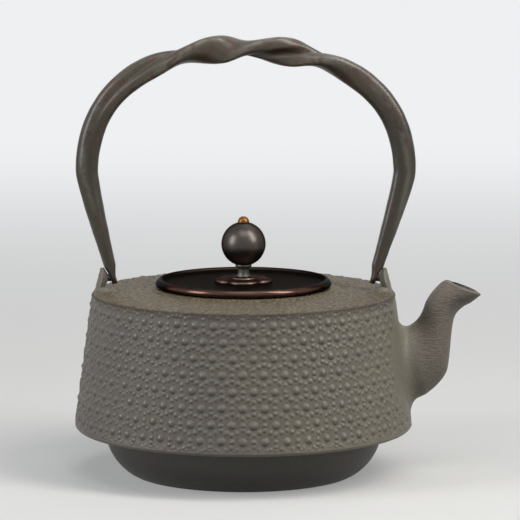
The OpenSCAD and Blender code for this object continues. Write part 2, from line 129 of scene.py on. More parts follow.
class KettleSpoutSizes(bpy.types.PropertyGroup):
    """Sizes of the spout."""

    port_z: length("Port height", "Height of the middle of the spout's root", 57)
    port_r: length("Port radius", "Radius of the hole in the drum", 9)
    reach: length("Reach", "Reach of the tip from the drum's face at the port", 39.3)
    rise: length("Rise", "Rise of the mouth above the port", 39.8)
    wall: length("Wall", "Thickness of the spout's wall", 2.8)
    fillet: length("Root fillet", "Fillet where the spout leaves the drum", 4.5)


class KettleHandleSizes(bpy.types.PropertyGroup):
    """Sizes of the bail handle and of the ears that it swings in."""

    rise: length("Rise", "Height of the middle line above the axis", 115)
    reach_right: length("Reach on the spout's side", "Widest reach of the middle line", 80.5)
    reach_left: length("Reach on the other side", "Widest reach of the middle line", 78.2)
    bar_w: length("Bar width", "Width of the bar across the twist", 14.4)
    bar_t: length("Bar thickness", "Thickness of the bar", 8)
    foot_w: length("Foot width", "Width of a leg at the axis", 2.9)
    foot_t: length("Foot thickness", "Thickness of a leg at the axis", 5.6)
    drop: length("Leg drop", "Length of a leg below the axis", 3.0)
    pin_r: length("Pin radius", "Radius of the pins at the feet", 1.8)
    ear_x: length("Ear place", "Distance of an ear's foot from the middle", 70.2)
    ear_top: length("Ear top", "Height of an ear above the axis", 4.9)
    ear_breadth: length("Ear breadth", "Half the breadth of an ear at its foot", 9.5)
    ear_t: length("Ear thickness", "Thickness of an ear at the axis", 5.6)


class KettleColours(bpy.types.PropertyGroup):
    """Colours of the finishes."""

    iron: colour("Iron", "Grey-brown of the drum", (0.125, 0.108, 0.094))
    # Laid on the drum in clouds as a bloom, and on the side towards +X as painted light
    iron_olive: colour("Olive iron", "Olive bloom on the drum", (0.160, 0.146, 0.106))
    iron_rust: colour("Rust", "Rust-brown patches", (0.150, 0.095, 0.068))
    shoulder: colour("Shoulder", "Olive beige of the shoulder", (0.136, 0.107, 0.052))
    # Bowl: its darkness is painted shade, standing for the overhang's shade on the bowl; the pot's finish
    # also paints shade with it in the cells' floors and under the stones
    bowl: colour("Bowl", "Dark olive-grey of the bowl", (0.040, 0.038, 0.031))
    forged: colour("Forged iron", "Grey-brown of the handle", (0.035, 0.028, 0.018))
    forged_olive: colour("Olive forged iron", "Olive bloom on the handle", (0.031, 0.027, 0.014))
    patina: colour("Lid patina", "Dark patina of the lid", (0.041, 0.033, 0.026))
    copper: colour("Rubbed copper", "Copper that shows at the lid's rim", (0.094, 0.051, 0.038))
    ball: colour("Ball", "Dark bronze of the knob's ball", (0.080, 0.070, 0.062))
    neck: colour("Neck", "Grey-green bronze of the knob's neck", (0.125, 0.130, 0.106))
    brass: colour("Brass", "Brass of the bolt", (0.18, 0.078, 0.024))
    floor: colour("Floor", "Pale floor and backdrop", (0.80, 0.80, 0.79))


def sizes(group):
    """The sizes or colours of a group, as they are set now."""
    return getattr(bpy.context.scene, "kettle_" + group)


# ---- Numbers and curves ----


def ease(u):
    """Smooth step from 0 to 1."""
    v = np.clip(u, 0, 1)
    return v * v * (3 - 2 * v)


def smooth_row(rows, place):
    """Rows of numbers at places along a list of rows, on a smooth curve through all of them."""
    rows = np.asarray(rows, float)
    last = len(rows) - 1
    i = np.clip(np.floor(place).astype(int), 0, last - 1)
    u = (place - i)[..., None]
    a, b, c, d = rows[np.maximum(i - 1, 0)], rows[i], rows[i + 1], rows[np.minimum(i + 2, last)]
    return 0.5 * (
        2 * b + (c - a) * u + (2 * a - 5 * b + 4 * c - d) * u**2 + (3 * b - a - 3 * c + d) * u**3
    )


def keyed_row(rows, key):
    """Rows at key values of the first column, on a smooth curve through all of them."""
    return smooth_row(rows, np.interp(key, [row[0] for row in rows], range(len(rows))))


def cubic(points, t):
    """Points of a cubic curve with four control points."""
    p = np.asarray(points, float)
    t = t[:, None]
    return (1 - t) ** 3 * p[0] + 3 * (1 - t) ** 2 * t * p[1] + 3 * (1 - t) * t**2 * p[2] + t**3 * p[3]


def arc(middle, radius, turn):
    """Points of an arc about a middle, at turns in radians."""
    return np.asarray(middle) + radius * np.stack([np.cos(turn), np.sin(turn)], 1)


def corner(point, angle_1, angle_2, radius, steps=8):
    """Points of the arc that rounds a corner between faces with outward normals at two angles."""
    a1, a2 = math.radians(angle_1), math.radians(angle_2)
    n1 = np.array([math.cos(a1), math.sin(a1)])
    n2 = np.array([math.cos(a2), math.sin(a2)])
    middle = np.asarray(point, float) - radius * (n1 + n2) / (1 + n1 @ n2)
    return arc(middle, radius, np.linspace(a1, a2, steps + 1))


def resample(points, spacing):
    """The points of a line with more between them, no further apart than the spacing."""
    points = np.asarray(points, float)
    made = [points[:1]]
    for start, end in zip(points[:-1], points[1:]):
        steps = max(1, math.ceil(np.linalg.norm(end - start) / spacing))
        made.append(start + (end - start) * (np.arange(1, steps + 1) / steps)[:, None])
    return np.concatenate(made)


def cast_noise(points, size, seed):
    """Smooth noise from -1 to 1 at points, with features of a size in millimetres."""
    shift = Vector((seed, 2 * seed, 3 * seed))
    values = [noise.noise(Vector(p) + shift) for p in points.reshape(-1, 3) / (size * MM)]
    return np.array(values).reshape(points.shape[:-1])


def round_angles(sides):
    """Angles of a ring's points."""
    return np.linspace(0, TURN, sides, endpoint=False)


def from_axis(points):
    """Distances of points from the kettle's axis."""
    return np.hypot(points[..., 0], points[..., 1])


# ---- Meshes ----


def grid_faces(rings, sides, loop=False):
    """Quads between successive rings of points; with loop, the last ring joins the first."""
    i = np.arange(rings if loop else rings - 1)[:, None]
    j = np.arange(sides)[None, :]
    after, beside = (i + 1) % rings, (j + 1) % sides
    quads = [i * sides + j, i * sides + beside, after * sides + beside, after * sides + j]
    return np.stack(np.broadcast_arrays(*quads), -1).reshape(-1, 4)


def smooth(mesh, sharp_angle):
    """Shades a mesh smooth, apart from edges sharper than an angle in degrees."""
    mesh.shade_smooth()
    mesh.set_sharp_from_angle(angle=math.radians(sharp_angle))


def make_piece(name, points, faces, sharp_angle):
    """An object of one closed shell, whose faces point outwards."""
    bm = bmesh.new()
    verts = [bm.verts.new(p) for p in points.reshape(-1, 3)]
    for face in faces:
        bm.faces.new([verts[k] for k in face])
    bmesh.ops.remove_doubles(bm, verts=bm.verts, dist=MERGED)
    bmesh.ops.dissolve_degenerate(bm, edges=bm.edges, dist=MERGED / 2)
    bmesh.ops.recalc_face_normals(bm, faces=bm.faces)
    mesh = bpy.data.meshes.new(name)
    bm.to_mesh(mesh)
    bm.free()
    smooth(mesh, sharp_angle)
    piece = bpy.data.objects.new(name, mesh)
    bpy.context.scene.collection.objects.link(piece)
    return piece


def lathe_points(profile, sides):
    """Rings of points of a profile of radii and heights turned about Z."""
    profile = np.asarray(profile, float)
    angle = round_angles(sides)
    r, z = profile[:, :1], profile[:, 1:]
    return np.stack([r * np.cos(angle), r * np.sin(angle), z + 0 * angle], -1)


def lathe(name, profile, sides, sharp_angle=45, loop=False):
    """A turned piece; with loop, the profile closes on itself round a hole."""
    points = lathe_points(profile, sides)
    return make_piece(name, points, grid_faces(len(points), sides, loop), sharp_angle)


def rod(radius, length):
    """The profile of a plain rod."""
    return [[0, 0], [radius, 0], [radius, length], [0, length]]


def lathe_along_x(name, profile, sides, x, z):
    """A turned piece whose axis lies along X, from a place above the middle line."""
    piece = lathe(name, profile, sides)
    piece.data.transform(Matrix.Translation((x, 0, z)) @ Matrix.Rotation(math.pi / 2, 4, "Y"))
    return piece


def mirror(piece):
    """Turns a piece of the right side into one of the left side."""
    piece.data.transform(Matrix.Scale(-1, 4, (1, 0, 0)))
    piece.data.flip_normals()


def capped(points):
    """A shell of rings of points whose two ends are closed by a fan round their middles."""
    rings, sides = points.shape[:2]
    flat = np.concatenate([points.reshape(-1, 3), points[:1].mean(1), points[-1:].mean(1)])
    first, last = rings * sides, rings * sides + 1
    faces = [list(q) for q in grid_faces(rings, sides)]
    for j in range(sides):
        k = (j + 1) % sides
        faces.append([first, k, j])
        faces.append([last, (rings - 1) * sides + j, (rings - 1) * sides + k])
    return flat, faces


def bake(piece):
    """Turns a piece with modifiers into the plain mesh that they make."""
    bpy.context.view_layer.update()
    baked = bpy.data.meshes.new_from_object(piece.evaluated_get(bpy.context.evaluated_depsgraph_get()))
    piece.modifiers.clear()
    piece.data = baked


def cut(piece, *cutters):
    """Cuts other pieces out of a piece and deletes them."""
    for cutter in cutters:
        modifier = piece.modifiers.new("cut", "BOOLEAN")
        modifier.operation = "DIFFERENCE"
        modifier.solver = "EXACT"
        modifier.object = cutter
    bake(piece)
    for cutter in cutters:
        bpy.data.objects.remove(cutter)
    smooth(piece.data, 35)


def join(piece, others):
    """Joins other objects' meshes into a piece's mesh."""
    bm = bmesh.new()
    bm.from_mesh(piece.data)
    for other in others:
        bm.from_mesh(other.data)
        bpy.data.objects.remove(other)
    bm.to_mesh(piece.data)
    bm.free()
    smooth(piece.data, 50)


def finish_of(make):
    """The material that a function makes, made once."""
    name = "finish_" + make.__name__
    if name not in bpy.data.materials:
        make(Finish(name))
    return bpy.data.materials[name]


def paint(piece, make):
    """Gives a piece the finish that a function makes."""
    piece.data.materials.clear()
    piece.data.materials.append(finish_of(make))


def dress(piece, make, body, *nodes):
    """Gives a piece its finish, its body and the CAD nodes that it stands for."""
    paint(piece, make)
    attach(piece, body)
    if nodes:
        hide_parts(*nodes)


# ---- Nodes ----


def maths(operation, swapped=False):
    """A method of a Value that adds a Math node; swapped, the value is its second term."""

    def method(self, *others):
        terms = (*others, self) if swapped else (self, *others)
        return self.nodes.add("ShaderNodeMath", dict(enumerate(terms)), operation=operation)

    return method


class Value:
    """A node's output that takes part in Python expressions; each operator adds a Math node."""

    def __init__(self, nodes, socket):
        self.nodes = nodes
        self.socket = socket

    __add__, __radd__ = maths("ADD"), maths("ADD", swapped=True)
    __sub__, __rsub__ = maths("SUBTRACT"), maths("SUBTRACT", swapped=True)
    __mul__, __rmul__ = maths("MULTIPLY"), maths("MULTIPLY", swapped=True)
    __truediv__, __rtruediv__ = maths("DIVIDE"), maths("DIVIDE", swapped=True)
    __pow__, __mod__ = maths("POWER"), maths("FLOORED_MODULO")
    __lt__, __abs__ = maths("LESS_THAN"), maths("ABSOLUTE")
    floor, round = maths("FLOOR"), maths("ROUND")
    sin, cos, sqrt = maths("SINE"), maths("COSINE"), maths("SQRT")
    least, most = maths("MINIMUM"), maths("MAXIMUM")

    def ramp(self, low, high):
        """Smooth step from 0 at low to 1 at high, and the other way round if low is above high."""
        if low > high:
            return 1 - self.ramp(high, low)
        inputs = {"Value": self, "From Min": low, "From Max": high}
        return self.nodes.add("ShaderNodeMapRange", inputs, interpolation_type="SMOOTHSTEP")


def distance(a, b):
    """Distance across two values at right angles."""
    return (a * a + b * b).sqrt()


class Nodes:
    """Adds nodes to a node tree."""

    def __init__(self, tree):
        self.tree = tree

    def add(self, kind, inputs=None, output=0, **settings):
        """Adds a node. Its settings come first, then the values or links of its sockets. A socket is
        named or numbered, and of several with one name the enabled one is meant."""
        node = self.tree.nodes.new(kind)
        for key, value in settings.items():
            setattr(node, key, value)
        for key, value in (inputs or {}).items():
            self.put(self.find(node.inputs, key), value)
        return Value(self, self.find(node.outputs, output))

    def find(self, sockets, key):
        live = [s for s in sockets if s.enabled]
        return live[key] if isinstance(key, int) else next(s for s in live if s.name == key)

    def put(self, socket, value):
        if isinstance(value, Value):
            self.tree.links.new(value.socket, socket)
        elif hasattr(value, "__len__") and socket.type == "RGBA":
            socket.default_value = (*value, 1)
        else:
            socket.default_value = value

    def vector(self, x, y, z):
        return self.add("ShaderNodeCombineXYZ", {0: x, 1: y, 2: z})

    def parts(self, vector):
        """The three numbers of a vector."""
        split = self.add("ShaderNodeSeparateXYZ", {0: vector})
        return [Value(self, s) for s in split.socket.node.outputs]

    def rays_seen(self):
        """1 for camera, glossy and transmission rays, and 0 for the rays that light the kettle."""
        path = self.add("ShaderNodeLightPath").socket.node
        names = ("Is Camera Ray", "Is Glossy Ray", "Is Transmission Ray")
        camera, glossy, through = (Value(self, path.outputs[name]) for name in names)
        return camera.most(glossy).most(through)


class Finish(Nodes):
    """A material whose shader is one Principled node; its sizes are given in millimetres."""

    def __init__(self, name):
        material = bpy.data.materials.new(name)
        material.use_nodes = True
        super().__init__(material.node_tree)
        self.shader = self.tree.nodes["Principled BSDF"]
        self.place = self.add("ShaderNodeTexCoord", output="Object")
        self.x, self.y, self.z = self.parts(self.place)

    def set(self, **values):
        """Sets sockets of the shader; a name's spaces are written as underscores."""
        for key, value in values.items():
            self.put(self.shader.inputs[key.replace("_", " ")], value)

    def mix(self, factor, a, b, blend="MIX"):
        """Colour a with factor of b blended in."""
        inputs = {"Factor": factor, "A": a, "B": b}
        return self.add("ShaderNodeMix", inputs, data_type="RGBA", blend_type=blend)

    def flecks(self, shade, amount, mask, dark, pale):
        """A colour with an amount of dark and pale grey flecks laid softly over it."""
        return self.mix(amount, shade, self.mix(mask, (dark,) * 3, (pale,) * 3), "SOFT_LIGHT")

    def noise(self, size, detail=2, roughness=0.5, distortion=0, upright=1):
        """Noise from 0 to 1 with features of a size, and as many times finer along Z as upright says."""
        place = self.place
        if upright > 1:
            place = self.add("ShaderNodeMapping", {"Vector": place, "Scale": (1, 1, upright)})
        return self.add("ShaderNodeTexNoise", {
            "Vector": place, "Scale": 1 / (size * MM), "Detail": detail, "Roughness": roughness,
            "Distortion": distortion,
        })

    def cells(self, size, feature="F1"):
        """Distance to the nearest of points scattered at a size."""
        inputs = {"Vector": self.place, "Scale": 1 / (size * MM)}
        return self.add("ShaderNodeTexVoronoi", inputs, feature=feature)

    def attribute(self, name):
        return self.add("ShaderNodeAttribute", output="Fac", attribute_name=name)

    def bump(self, *heights):
        """Bumps of (height, size of the relief, strength), one over the other."""
        normal = None
        for height, relief, strength in heights:
            inputs = {"Height": height, "Distance": relief * MM, "Strength": strength}
            if normal:
                inputs["Normal"] = normal
            normal = self.add("ShaderNodeBump", inputs)
        self.set(Normal=normal)


# ---- Materials ----

# Second tones, which lie over the colours above in clouds, patches and rubbed places; some are painted shade,
# painted light and painted highlights, as the finishes below say
SPOUT_TONE = (0.118, 0.090, 0.076)
EAR_TONE = (0.140, 0.132, 0.100)
CREASE_SHADE = (0.042, 0.028, 0.018)
PEBBLE_GAP_SHADE = (0.052, 0.040, 0.026)
STONE_WEAR_AND_HIGHLIGHT = (0.31, 0.29, 0.26)
HANDLE_TOP_LIGHT = (0.088, 0.076, 0.053)
HANDLE_BROWN = (0.088, 0.045, 0.032)
RIDGE_WEAR_AND_HIGHLIGHT = (0.26, 0.24, 0.20)
LID_CLOUDS = (0.045, 0.024, 0.020)
RUBBED_SEAT = (0.15, 0.095, 0.085)
BALL_CLOUDS = (0.096, 0.072, 0.062)
NECK_CLOUDS = (0.05, 0.06, 0.05)
BRASS_CLOUDS = (0.30, 0.13, 0.04)
EARS_FROM = 54 * MM


def cell_edge(f, radius, turn):
    """Distance of a point on the drum from the edge of its large stone's cell, in metres."""
    hail = sizes("hail")
    turns = turn * (hail.count / TURN) - hail_drift((turn + DRIFT_AT).cos())
    step = radius * (TURN / hail.count)
    level = (crease_height() - hail.top_drop - f.z) / hail.pitch
    near, beside = [], []
    for row in (level.floor(), level.floor() + 1):
        column = turns - (row % 2) * 0.5
        across = abs(column - column.round()) * step
        down = (level - row) * hail.pitch
        near.append(across * across + down * down)
        beside.append((step - across) * (step - across) + down * down)
    second = near[0].most(near[1]).least(beside[0].least(beside[1]))
    return (second - near[0].least(near[1])) / (2 * step)


def cast_iron_pot(f):
    """Fine sand-cast iron: grey-brown with an olive bloom and rust, paler on the shoulder. Painted shade
    darkens the bowl under the overhang, the crease, the gaps of the shoulder's pebbles, the cells' floors and
    the stones' undersides; painted light makes the side towards +X lighter and more olive, and the stones'
    crowns are paler, partly from rubbing and partly as a painted highlight.
    """
    pot, smooth_r, colours = sizes("pot"), sizes("hail").smooth_r, sizes("colours")
    crease_z = crease_height()
    clouds = f.noise(38, 4, 0.55)
    blotches = f.noise(9, 5, 0.6, 0.4)
    grain = f.noise(0.9, 3, 0.6)
    streak = f.noise(3.2, 3, 0.6, upright=4)
    sand = f.cells(1.1)
    pebble = f.cells(2.6, "DISTANCE_TO_EDGE")

    # where the pot's regions are
    radius = distance(f.x, f.y)
    turn = f.add("ShaderNodeMath", {0: f.y, 1: f.x}, operation="ARCTAN2")
    from_root = distance(turn * radius, f.z - sizes("spout").port_z)
    # below: the bowl under the overhang, where painted shade darkens the iron
    below = f.z.ramp(pot.bowl_h + 0.8 * MM, pot.bowl_h - 0.4 * MM)
    on_drum = f.z.ramp(pot.bowl_h + 1 * MM, pot.bowl_h + 4 * MM) * f.z.ramp(crease_z, crease_z - 2 * MM)
    in_pattern = on_drum * from_root.ramp(smooth_r - 3 * MM, smooth_r + 5 * MM)
    # cell_floor: the floor of each stone's cell, darkened in the finish as painted shade in the hollows
    cell_floor = cell_edge(f, radius, turn).ramp(0.4 * MM, 1.9 * MM) * in_pattern
    # under: faces that look downwards in the pattern, darkened in the finish as painted shade below the
    # stones and beads
    under = f.parts(f.add("ShaderNodeNewGeometry", output="Normal"))[2].ramp(0.05, -0.45) * in_pattern
    crown = f.attribute("crown").ramp(0.50, 0.95)
    on_pot = radius.ramp(pot.crease_r + 3 * MM, pot.crease_r + 1.5 * MM)
    on_ear = f.z.ramp(crease_z + 0.9 * MM, crease_z + 2.2 * MM) * on_pot
    on_ear = on_ear * radius.ramp(EARS_FROM, EARS_FROM + 6 * MM)
    above = f.z.ramp(crease_z - 0.7 * MM, crease_z - 0.2 * MM) * on_pot * (1 - on_ear)
    # crease: a thin band just below the crease, painted dark as the crease's shade
    crease = f.z.ramp(crease_z - 1.5 * MM, crease_z - 1.1 * MM)
    crease = crease * f.z.ramp(crease_z + 0.1 * MM, crease_z - 0.15 * MM) * on_pot
    on_spout = radius.ramp(pot.lip_r + 1 * MM, pot.lip_r + 7 * MM)

    # the ramp along X is painted light: the side towards +X, which faces the right lamp, is painted lighter
    # and more olive; the clouds add a real olive bloom
    olive = (clouds.ramp(0.42, 0.62) * 0.35 + f.x.ramp(-20 * MM, 45 * MM) * 0.65).least(1.0)
    shoulder = f.mix(blotches.ramp(0.40, 0.7) * 0.35, colours.shoulder, colours.iron_rust)
    # painted shade: darker gaps between the shoulder's pebbles
    shoulder = f.mix(pebble.ramp(0.24, 0.02) * 0.75, shoulder, PEBBLE_GAP_SHADE)
    shade = f.mix(olive, colours.iron, colours.iron_olive)
    for amount, other in (
        (blotches.ramp(0.56, 0.72) * clouds.ramp(0.60, 0.42) * 0.42, colours.iron_rust),
        (above, shoulder),
        # painted shade: a dark line along the crease
        (crease * (0.65 + blotches.ramp(0.62, 0.48) * 0.35), CREASE_SHADE),
        (on_ear * 0.7, EAR_TONE),
        (on_spout * (0.35 + clouds.ramp(0.35, 0.65) * 0.35), SPOUT_TONE),
        # painted shade: the bowl under the overhang
        (below, colours.bowl),
        # painted shade: the cells' floors round the stones
        (cell_floor * (1 - crown) * 0.14, colours.bowl),
        # painted shade: the undersides of the stones and beads
        (under * 0.6, colours.bowl),
        # stones' crowns paler: partly rubbed wear, partly a painted highlight
        (crown * 0.12, STONE_WEAR_AND_HIGHLIGHT),
    ):
        shade = f.mix(amount, shade, other)
    shade = f.flecks(shade, 0.34, grain.ramp(0.30, 0.72), 0.25, 0.78)
    f.set(Base_Color=shade, Roughness=0.48 + grain * 0.14 + crease * 0.2 - crown * 0.32, IOR=1.55)
    rough = 1 - crown * 0.85
    f.bump(
        (blotches, 0.5, 0.35), (streak * on_spout, 0.9, 0.6), (pebble.ramp(0.0, 0.28) * above, 0.45, 0.9),
        (sand * rough, 0.22, 0.42), (grain * rough, 0.16, 0.55),
    )


def forged_iron(f):
    """The handle: smooth hammered iron, grey-brown with brown patches; painted light makes its top lighter,
    and its ridges are paler, partly rubbed and partly as a painted highlight.
    """
    colours = sizes("colours")
    clouds = f.noise(22, 4, 0.6)
    patches = f.noise(8, 5, 0.62, 0.6)
    grain = f.noise(0.8, 3, 0.6)
    speckle = f.noise(1.6, 4, 0.7).ramp(0.42, 0.58)
    # top: the handle's top, where painted light makes the twist lighter under the lamps above
    top = f.z.ramp(PIVOT_Z + 74 * MM, PIVOT_Z + 106 * MM)
    brown = patches.ramp(0.45, 0.57) * (0.3 + speckle * 0.7) * (0.3 + top * 0.65)
    # rubbed: pale ridges and the legs' crest, partly rubbed wear and partly a painted highlight
    rubbed = f.attribute("ridge") * patches.ramp(0.62, 0.38) * 0.45
    shade = f.mix(clouds.ramp(0.40, 0.64) * 0.6, colours.forged, colours.forged_olive)
    for amount, other in ((top * 0.7, HANDLE_TOP_LIGHT), (brown, HANDLE_BROWN), (rubbed, RIDGE_WEAR_AND_HIGHLIGHT)):
        shade = f.mix(amount, shade, other)
    shade = f.flecks(shade, 0.30, grain.ramp(0.3, 0.7), 0.3, 0.72)
    f.set(Base_Color=shade, Roughness=0.25 + patches * 0.12, IOR=1.5)
    f.bump((patches, 0.35, 0.25), (grain, 0.10, 0.45))


def lid_patina(f):
    """Dark patina over copper, which shows pinkish where the rim and the rosette are rubbed."""
    colours = sizes("colours")
    radius, rim_r, seat_r = distance(f.x, f.y), PLATE_HIGH.y, -SEAT_LOW.y
    clouds = f.noise(12, 5, 0.6, 0.5)
    brushed = f.noise(2.5, 3, 0.6, upright=6)
    rim = radius.ramp(rim_r - 3.4 * MM, rim_r - 1.2 * MM)
    seat = radius.ramp(seat_r + 1 * MM, seat_r) * f.z.ramp(SEAT_LOW.z + 0.2 * MM, SEAT_LOW.z + 0.9 * MM)
    worn = (rim + seat).least(1.0) * (0.45 + clouds.ramp(0.3, 0.65) * 0.55)
    shade = f.mix(clouds.ramp(0.35, 0.7) * 0.5, colours.patina, LID_CLOUDS)
    shade = f.mix(worn, shade, colours.copper)
    shade = f.mix(seat * 0.75, shade, RUBBED_SEAT)
    f.set(
        Base_Color=shade, Metallic=1.0, Roughness=0.28 - rim * 0.17 + brushed * 0.10 + clouds * 0.05,
        Specular_Tint=(0.07, 0.06, 0.05), Coat_Weight=rim * 0.08, Coat_Roughness=0.13,
    )
    f.bump((clouds, 0.20, 0.16), (f.noise(0.5), 0.04, 0.22))


def ball_bronze(f):
    """Satin dark bronze of the ball."""
    clouds = f.noise(7, 4, 0.6)
    shade = f.mix(clouds.ramp(0.4, 0.65) * 0.4, sizes("colours").ball, BALL_CLOUDS)
    f.set(Base_Color=shade, Metallic=1.0, Roughness=0.30 + clouds * 0.08, Specular_Tint=(0.25, 0.25, 0.25))
    f.bump((f.noise(0.35), 0.04, 0.25))


def neck_bronze(f):
    """Grey-green bronze of the neck."""
    grain = f.noise(0.4)
    shade = f.mix(f.noise(4, 4, 0.6).ramp(0.4, 0.7) * 0.5, sizes("colours").neck, NECK_CLOUDS)
    f.set(Base_Color=shade, Metallic=1.0, Roughness=0.40 + grain * 0.12, Specular_Tint=(0.4, 0.4, 0.4))
    f.bump((grain, 0.05, 0.30))


def bolt_brass(f):
    """Polished brass of the bolt, its washer and its nut."""
    clouds = f.noise(2.5, 3, 0.6)
    shade = f.mix(clouds.ramp(0.45, 0.7) * 0.5, sizes("colours").brass, BRASS_CLOUDS)
    f.set(Base_Color=shade, Metallic=1.0, Roughness=0.26 + clouds * 0.14)
    f.bump((f.noise(1.2, upright=9), 0.03, 0.20))


# ---- Pot ----

SIDES_PER_STONE = 10
DRUM_SPACING = 1.10 * MM
EDGE_BREADTH = 1.3 * MM
MOUND_R = 2.6 * MM
PEBBLE_SIZE, PEBBLE_H = 2.1, 0.65 * MM
WAVE_SIZE, WAVE_H = 6, 0.30 * MM
PORT_FROM, PORT_LENGTH = 45 * MM, 60 * MM
DRIFT_AT = math.radians(70)
DRIFT_POWER = 20


def crease_height():
    """Height of the crease between the drum and the shoulder."""
    return BODY_HIGH.z - sizes("pot").collar_h - sizes("pot").shoulder_rise


def drum_taper():
    """How much the drum's radius grows for each unit of height downwards."""
    pot = sizes("pot")
    return (pot.lip_r - pot.crease_r) / (crease_height() - pot.bowl_h - pot.lip_round)


def drum_radius(z):
    """Radius of the drum's smooth cone at a height."""
    return sizes("pot").crease_r + (crease_height() - z) * drum_taper()


def shoulder_height(r):
    """Height of the shoulder's smooth cone at a radius."""
    pot = sizes("pot")
    slope = pot.shoulder_rise / (pot.crease_r - pot.mouth_r - pot.collar_w)
    return crease_height() + (pot.crease_r - r) * slope


def bowl_curve(r0, r1, z0, z1, steps):
    """The bowl's side from its foot to its top."""
    u = np.linspace(0, 1, steps + 1) ** 1.3
    return np.stack([r0 + (r1 - r0) * np.sin(math.pi / 2 * u**0.74), z0 + (z1 - z0) * u], 1)


def pot_profile():
    """The pot's outline from the middle of the inner floor, over the mouth, to the middle of the base."""
    p = sizes("pot")
    crease_z, top_z = crease_height(), BODY_HIGH.z
    collar_r, edge = p.mouth_r + p.collar_w, 0.45 * MM
    lean = math.degrees(math.atan(drum_taper()))
    slope = math.degrees(math.atan2(p.shoulder_rise, p.crease_r - collar_r))
    side_wall = p.wall / math.cos(math.radians(lean))
    floor_z, inner_lip_z, inner_crease_z = p.wall + 0.8 * MM, p.bowl_h + p.wall, crease_z - p.wall
    inside = np.concatenate([
        [[0, floor_z]],
        bowl_curve(p.foot_r - p.wall - 3 * MM, p.bowl_r - p.wall, floor_z, inner_lip_z, 10),
        [[drum_radius(inner_lip_z) - side_wall, inner_lip_z]],
        corner([drum_radius(inner_crease_z) - side_wall, inner_crease_z], lean, 90 - slope, 3 * MM),
        [[p.mouth_r, shoulder_height(collar_r) - p.wall]],
    ])
    mouth = np.concatenate([
        [[p.mouth_r, top_z - 2 * edge]],
        corner([p.mouth_r, top_z], 180, 90, edge, 4),
        corner([collar_r, top_z], 90, 0, p.collar_h / 2, 6),
        [[collar_r + 0.04 * MM, shoulder_height(collar_r) + 0.3 * MM]],
        [[collar_r + 0.30 * MM, shoulder_height(collar_r) + 0.04 * MM]],
    ])
    drum = np.concatenate([
        mouth[-1:],
        [[p.crease_r - 3 * MM, shoulder_height(p.crease_r - 3 * MM)]],
        corner([p.crease_r, crease_z], 90 - slope, lean, p.crease_round),
        corner([drum_radius(p.bowl_h), p.bowl_h], lean, -90, p.lip_round, 10),
        [[p.bowl_r + 2.2 * MM, p.bowl_h], [p.bowl_r + 0.5 * MM, p.bowl_h - 0.1 * MM]],
    ])
    bowl = bowl_curve(p.foot_r, p.bowl_r, 0.4 * MM, p.bowl_h - 0.5 * MM, 12)[::-1]
    inner_foot, recess = p.foot_r - p.foot_flat, p.foot_recess
    base = [
        [p.foot_r - 0.25 * MM, 0.1 * MM], [p.foot_r - 0.8 * MM, 0], [inner_foot, 0],
        [inner_foot - recess, recess], [p.gate_r + recess, recess], [p.gate_r, 0], [0, 0],
    ]
    return np.concatenate([
        resample(inside, 9 * MM), mouth, resample(drum, DRUM_SPACING)[1:], bowl, resample(base, 12 * MM),
    ])


def hail_drift(turn_cosine):
    """How far, in stones, the rows stand from an even start, given the cosine of the turn from the drift."""
    return sizes("hail").phase + sizes("hail").drift * turn_cosine**DRIFT_POWER


def hail_cells(points):
    """Distances of points on the drum, in metres, from the nearest large stone and from its cell's edge."""
    hail = sizes("hail")
    turn = np.arctan2(points[..., 1], points[..., 0])
    turns = turn * hail.count / TURN - hail_drift(np.cos(turn + DRIFT_AT))
    step = np.maximum(from_axis(points), MM) * TURN / hail.count
    level = (crease_height() - hail.top_drop - points[..., 2]) / hail.pitch
    near, beside, stone = [], [], []
    for row in (np.floor(level), np.floor(level) + 1):
        column = turns - 0.5 * (row % 2)
        across = np.abs(column - np.round(column)) * step
        down = (level - row) * hail.pitch
        near.append(np.hypot(across, down))
        beside.append(np.hypot(step - across, down))
        stone.append(np.where((row >= 0) & (row < hail.rows), near[-1], 1.0))
    first = np.minimum(*near)
    second = np.minimum(np.maximum(*near), np.minimum(*beside))
    return np.minimum(*stone), (second**2 - first**2) / (2 * step)


def pot_relief(points):
    """Depth to which the drum is sunk at its points: a cell round each large stone, with raised edges."""
    hail, radius, z = sizes("hail"), from_axis(points), points[..., 2]
    outside = ease((radius - (drum_radius(z) - 0.6 * MM)) / (0.3 * MM))
    band = ease((z - sizes("pot").bowl_h - 1.4 * MM) / (1.4 * MM))
    band = band * ease((crease_height() - 0.9 * MM - z) / (1.6 * MM))
    bearing = np.arctan2(points[..., 1], points[..., 0]) * radius
    from_root = np.hypot(bearing, z - sizes("spout").port_z)
    pattern = ease((from_root - hail.smooth_r) / (8 * MM))
    stone, edge = hail_cells(points)
    floor = 1 - np.exp(-((edge / EDGE_BREADTH) ** 2)) - 0.3 * np.exp(-((stone / MOUND_R) ** 2))
    return outside * band * (hail.sink * (0.25 + 0.75 * pattern) + hail.hollow * floor * pattern)


def shoulder_relief(points):
    """Height of the pebbled casting skin on the shoulder at its points."""
    pot, radius = sizes("pot"), from_axis(points)
    top = ease((points[..., 2] - shoulder_height(radius) + 0.5 * MM) / (0.3 * MM))
    ring = ease((radius - pot.mouth_r - pot.collar_w - 0.8 * MM) / (1.5 * MM))
    on = top * ring * (radius < pot.crease_r + 0.5 * MM)
    height = np.zeros(radius.shape)
    rows = on.any(axis=1)
    height[rows] = cast_noise(points[rows], PEBBLE_SIZE, 8) * PEBBLE_H
    height[rows] += cast_noise(points[rows], WAVE_SIZE, 9) * WAVE_H
    return on * height


